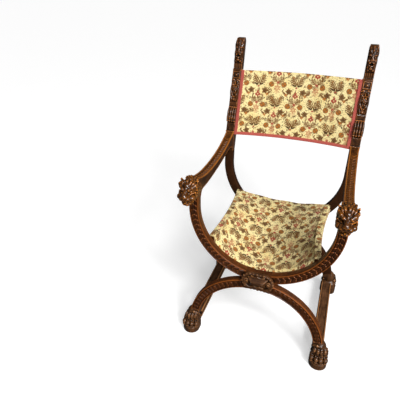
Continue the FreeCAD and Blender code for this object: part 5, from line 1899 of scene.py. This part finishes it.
class ARMCHAIR_OT_stage(bpy.types.Operator):
    """Pale floor, soft lights and the camera"""
    bl_idname = "armchair.stage"
    bl_label = "Stage"

    def execute(self, context):
        self.floor()
        self.lights(context.scene)
        self.camera(context.scene)
        return {"FINISHED"}

    def floor(self):
        points = [(x, y, -0.0002) for x in (-60.0, 60.0) for y in (-20.0, 60.0)]
        floor = new_piece("studio_floor", points, [[0, 2, 3, 1]])
        floor.data.shade_smooth()
        material, w, shader = blank("Pale floor")
        dust = w.noise(w.coordinate(), 3.0)
        pale = w.mix(dust, *map(grey, FLOOR_SEEN))
        _, light = w.node("LightPath")
        seen = light["Is Camera Ray"]
        w.fill(shader, Base_Color=w.mix(seen, grey(FLOOR_ALBEDO), pale),
               Emission_Color=w.mix(seen, grey(0.0), grey(FLOOR_GLOW)), Emission_Strength=1.0, Roughness=0.9,
               Specular_IOR_Level=0.1)
        paint(floor, material)

    def lights(self, scene):
        scene.world = bpy.data.worlds.new("Studio")
        scene.world.use_nodes = True
        light = scene.world.node_tree.nodes["Background"].inputs
        light["Color"].default_value = grey(1.0)
        light["Strength"].default_value = WORLD_LIGHT
        for name, kind, place, target, size, power in LIGHTS:
            data = bpy.data.lights.new(name, kind)
            data.energy = power
            setattr(data, "angle" if kind == "SUN" else "size", size)
            lamp = add_object(name, data)
            lamp.location = place
            lamp.rotation_euler = (Vector(target) - Vector(place)).to_track_quat("-Z", "Y").to_euler()

    def camera(self, scene):
        data = bpy.data.cameras.new("view")
        data.lens, data.sensor_width, data.clip_end = LENS, 36.0, 80.0
        pitch, roll = math.radians(PITCH), math.radians(ROLL)
        level, up = Vector(LEVEL).normalized(), Vector((0.0, 0.0, 1.0))
        right = Vector((level.y, -level.x, 0.0))
        ahead = math.cos(pitch) * level - math.sin(pitch) * up
        above = math.sin(pitch) * level + math.cos(pitch) * up
        x_axis = math.cos(roll) * right + math.sin(roll) * above
        y_axis = -math.sin(roll) * right + math.cos(roll) * above
        camera = add_object("view", data)
        camera.matrix_world = Matrix.Translation(EYE) @ Matrix((x_axis, y_axis, -ahead)).transposed().to_4x4()
        scene.camera = camera
        scene.view_settings.view_transform = "Standard"


# ---------------------------------------------------------------- panel, register and main

OPERATORS = (ARMCHAIR_OT_stage, ARMCHAIR_OT_legs, ARMCHAIR_OT_runners, ARMCHAIR_OT_joinery, ARMCHAIR_OT_arms,
             ARMCHAIR_OT_lions, ARMCHAIR_OT_paws, ARMCHAIR_OT_posts, ARMCHAIR_OT_cartouche, ARMCHAIR_OT_seat,
             ARMCHAIR_OT_back)


class ARMCHAIR_PT_panel(bpy.types.Panel):
    """Buttons for the armchair's pieces, and their sizes and colours"""
    bl_idname = "ARMCHAIR_PT_panel"
    bl_label = "Savonarola Armchair"
    bl_space_type = "VIEW_3D"
    bl_region_type = "UI"
    bl_category = "Armchair"

    def draw(self, context):
        for operator in OPERATORS:
            self.layout.operator(operator.bl_idname)
        for settings in (context.scene.armchair_sizes, context.scene.armchair_colours):
            column = self.layout.column(align=True)
            for name in settings.__annotations__:
                column.prop(settings, name)


CLASSES = (ChairSizes, ChairColours) + OPERATORS + (ARMCHAIR_PT_panel,)


def register():
    for item in CLASSES:
        bpy.utils.register_class(item)
    bpy.types.Scene.armchair_sizes = bpy.props.PointerProperty(type=ChairSizes)
    bpy.types.Scene.armchair_colours = bpy.props.PointerProperty(type=ChairColours)


def unregister():
    del bpy.types.Scene.armchair_colours
    del bpy.types.Scene.armchair_sizes
    for item in reversed(CLASSES):
        bpy.utils.unregister_class(item)


def main():
    register()
    for operator in OPERATORS:
        family, name = operator.bl_idname.split(".")
        getattr(getattr(bpy.ops, family), name)()


if __name__ == "__main__":
    main()
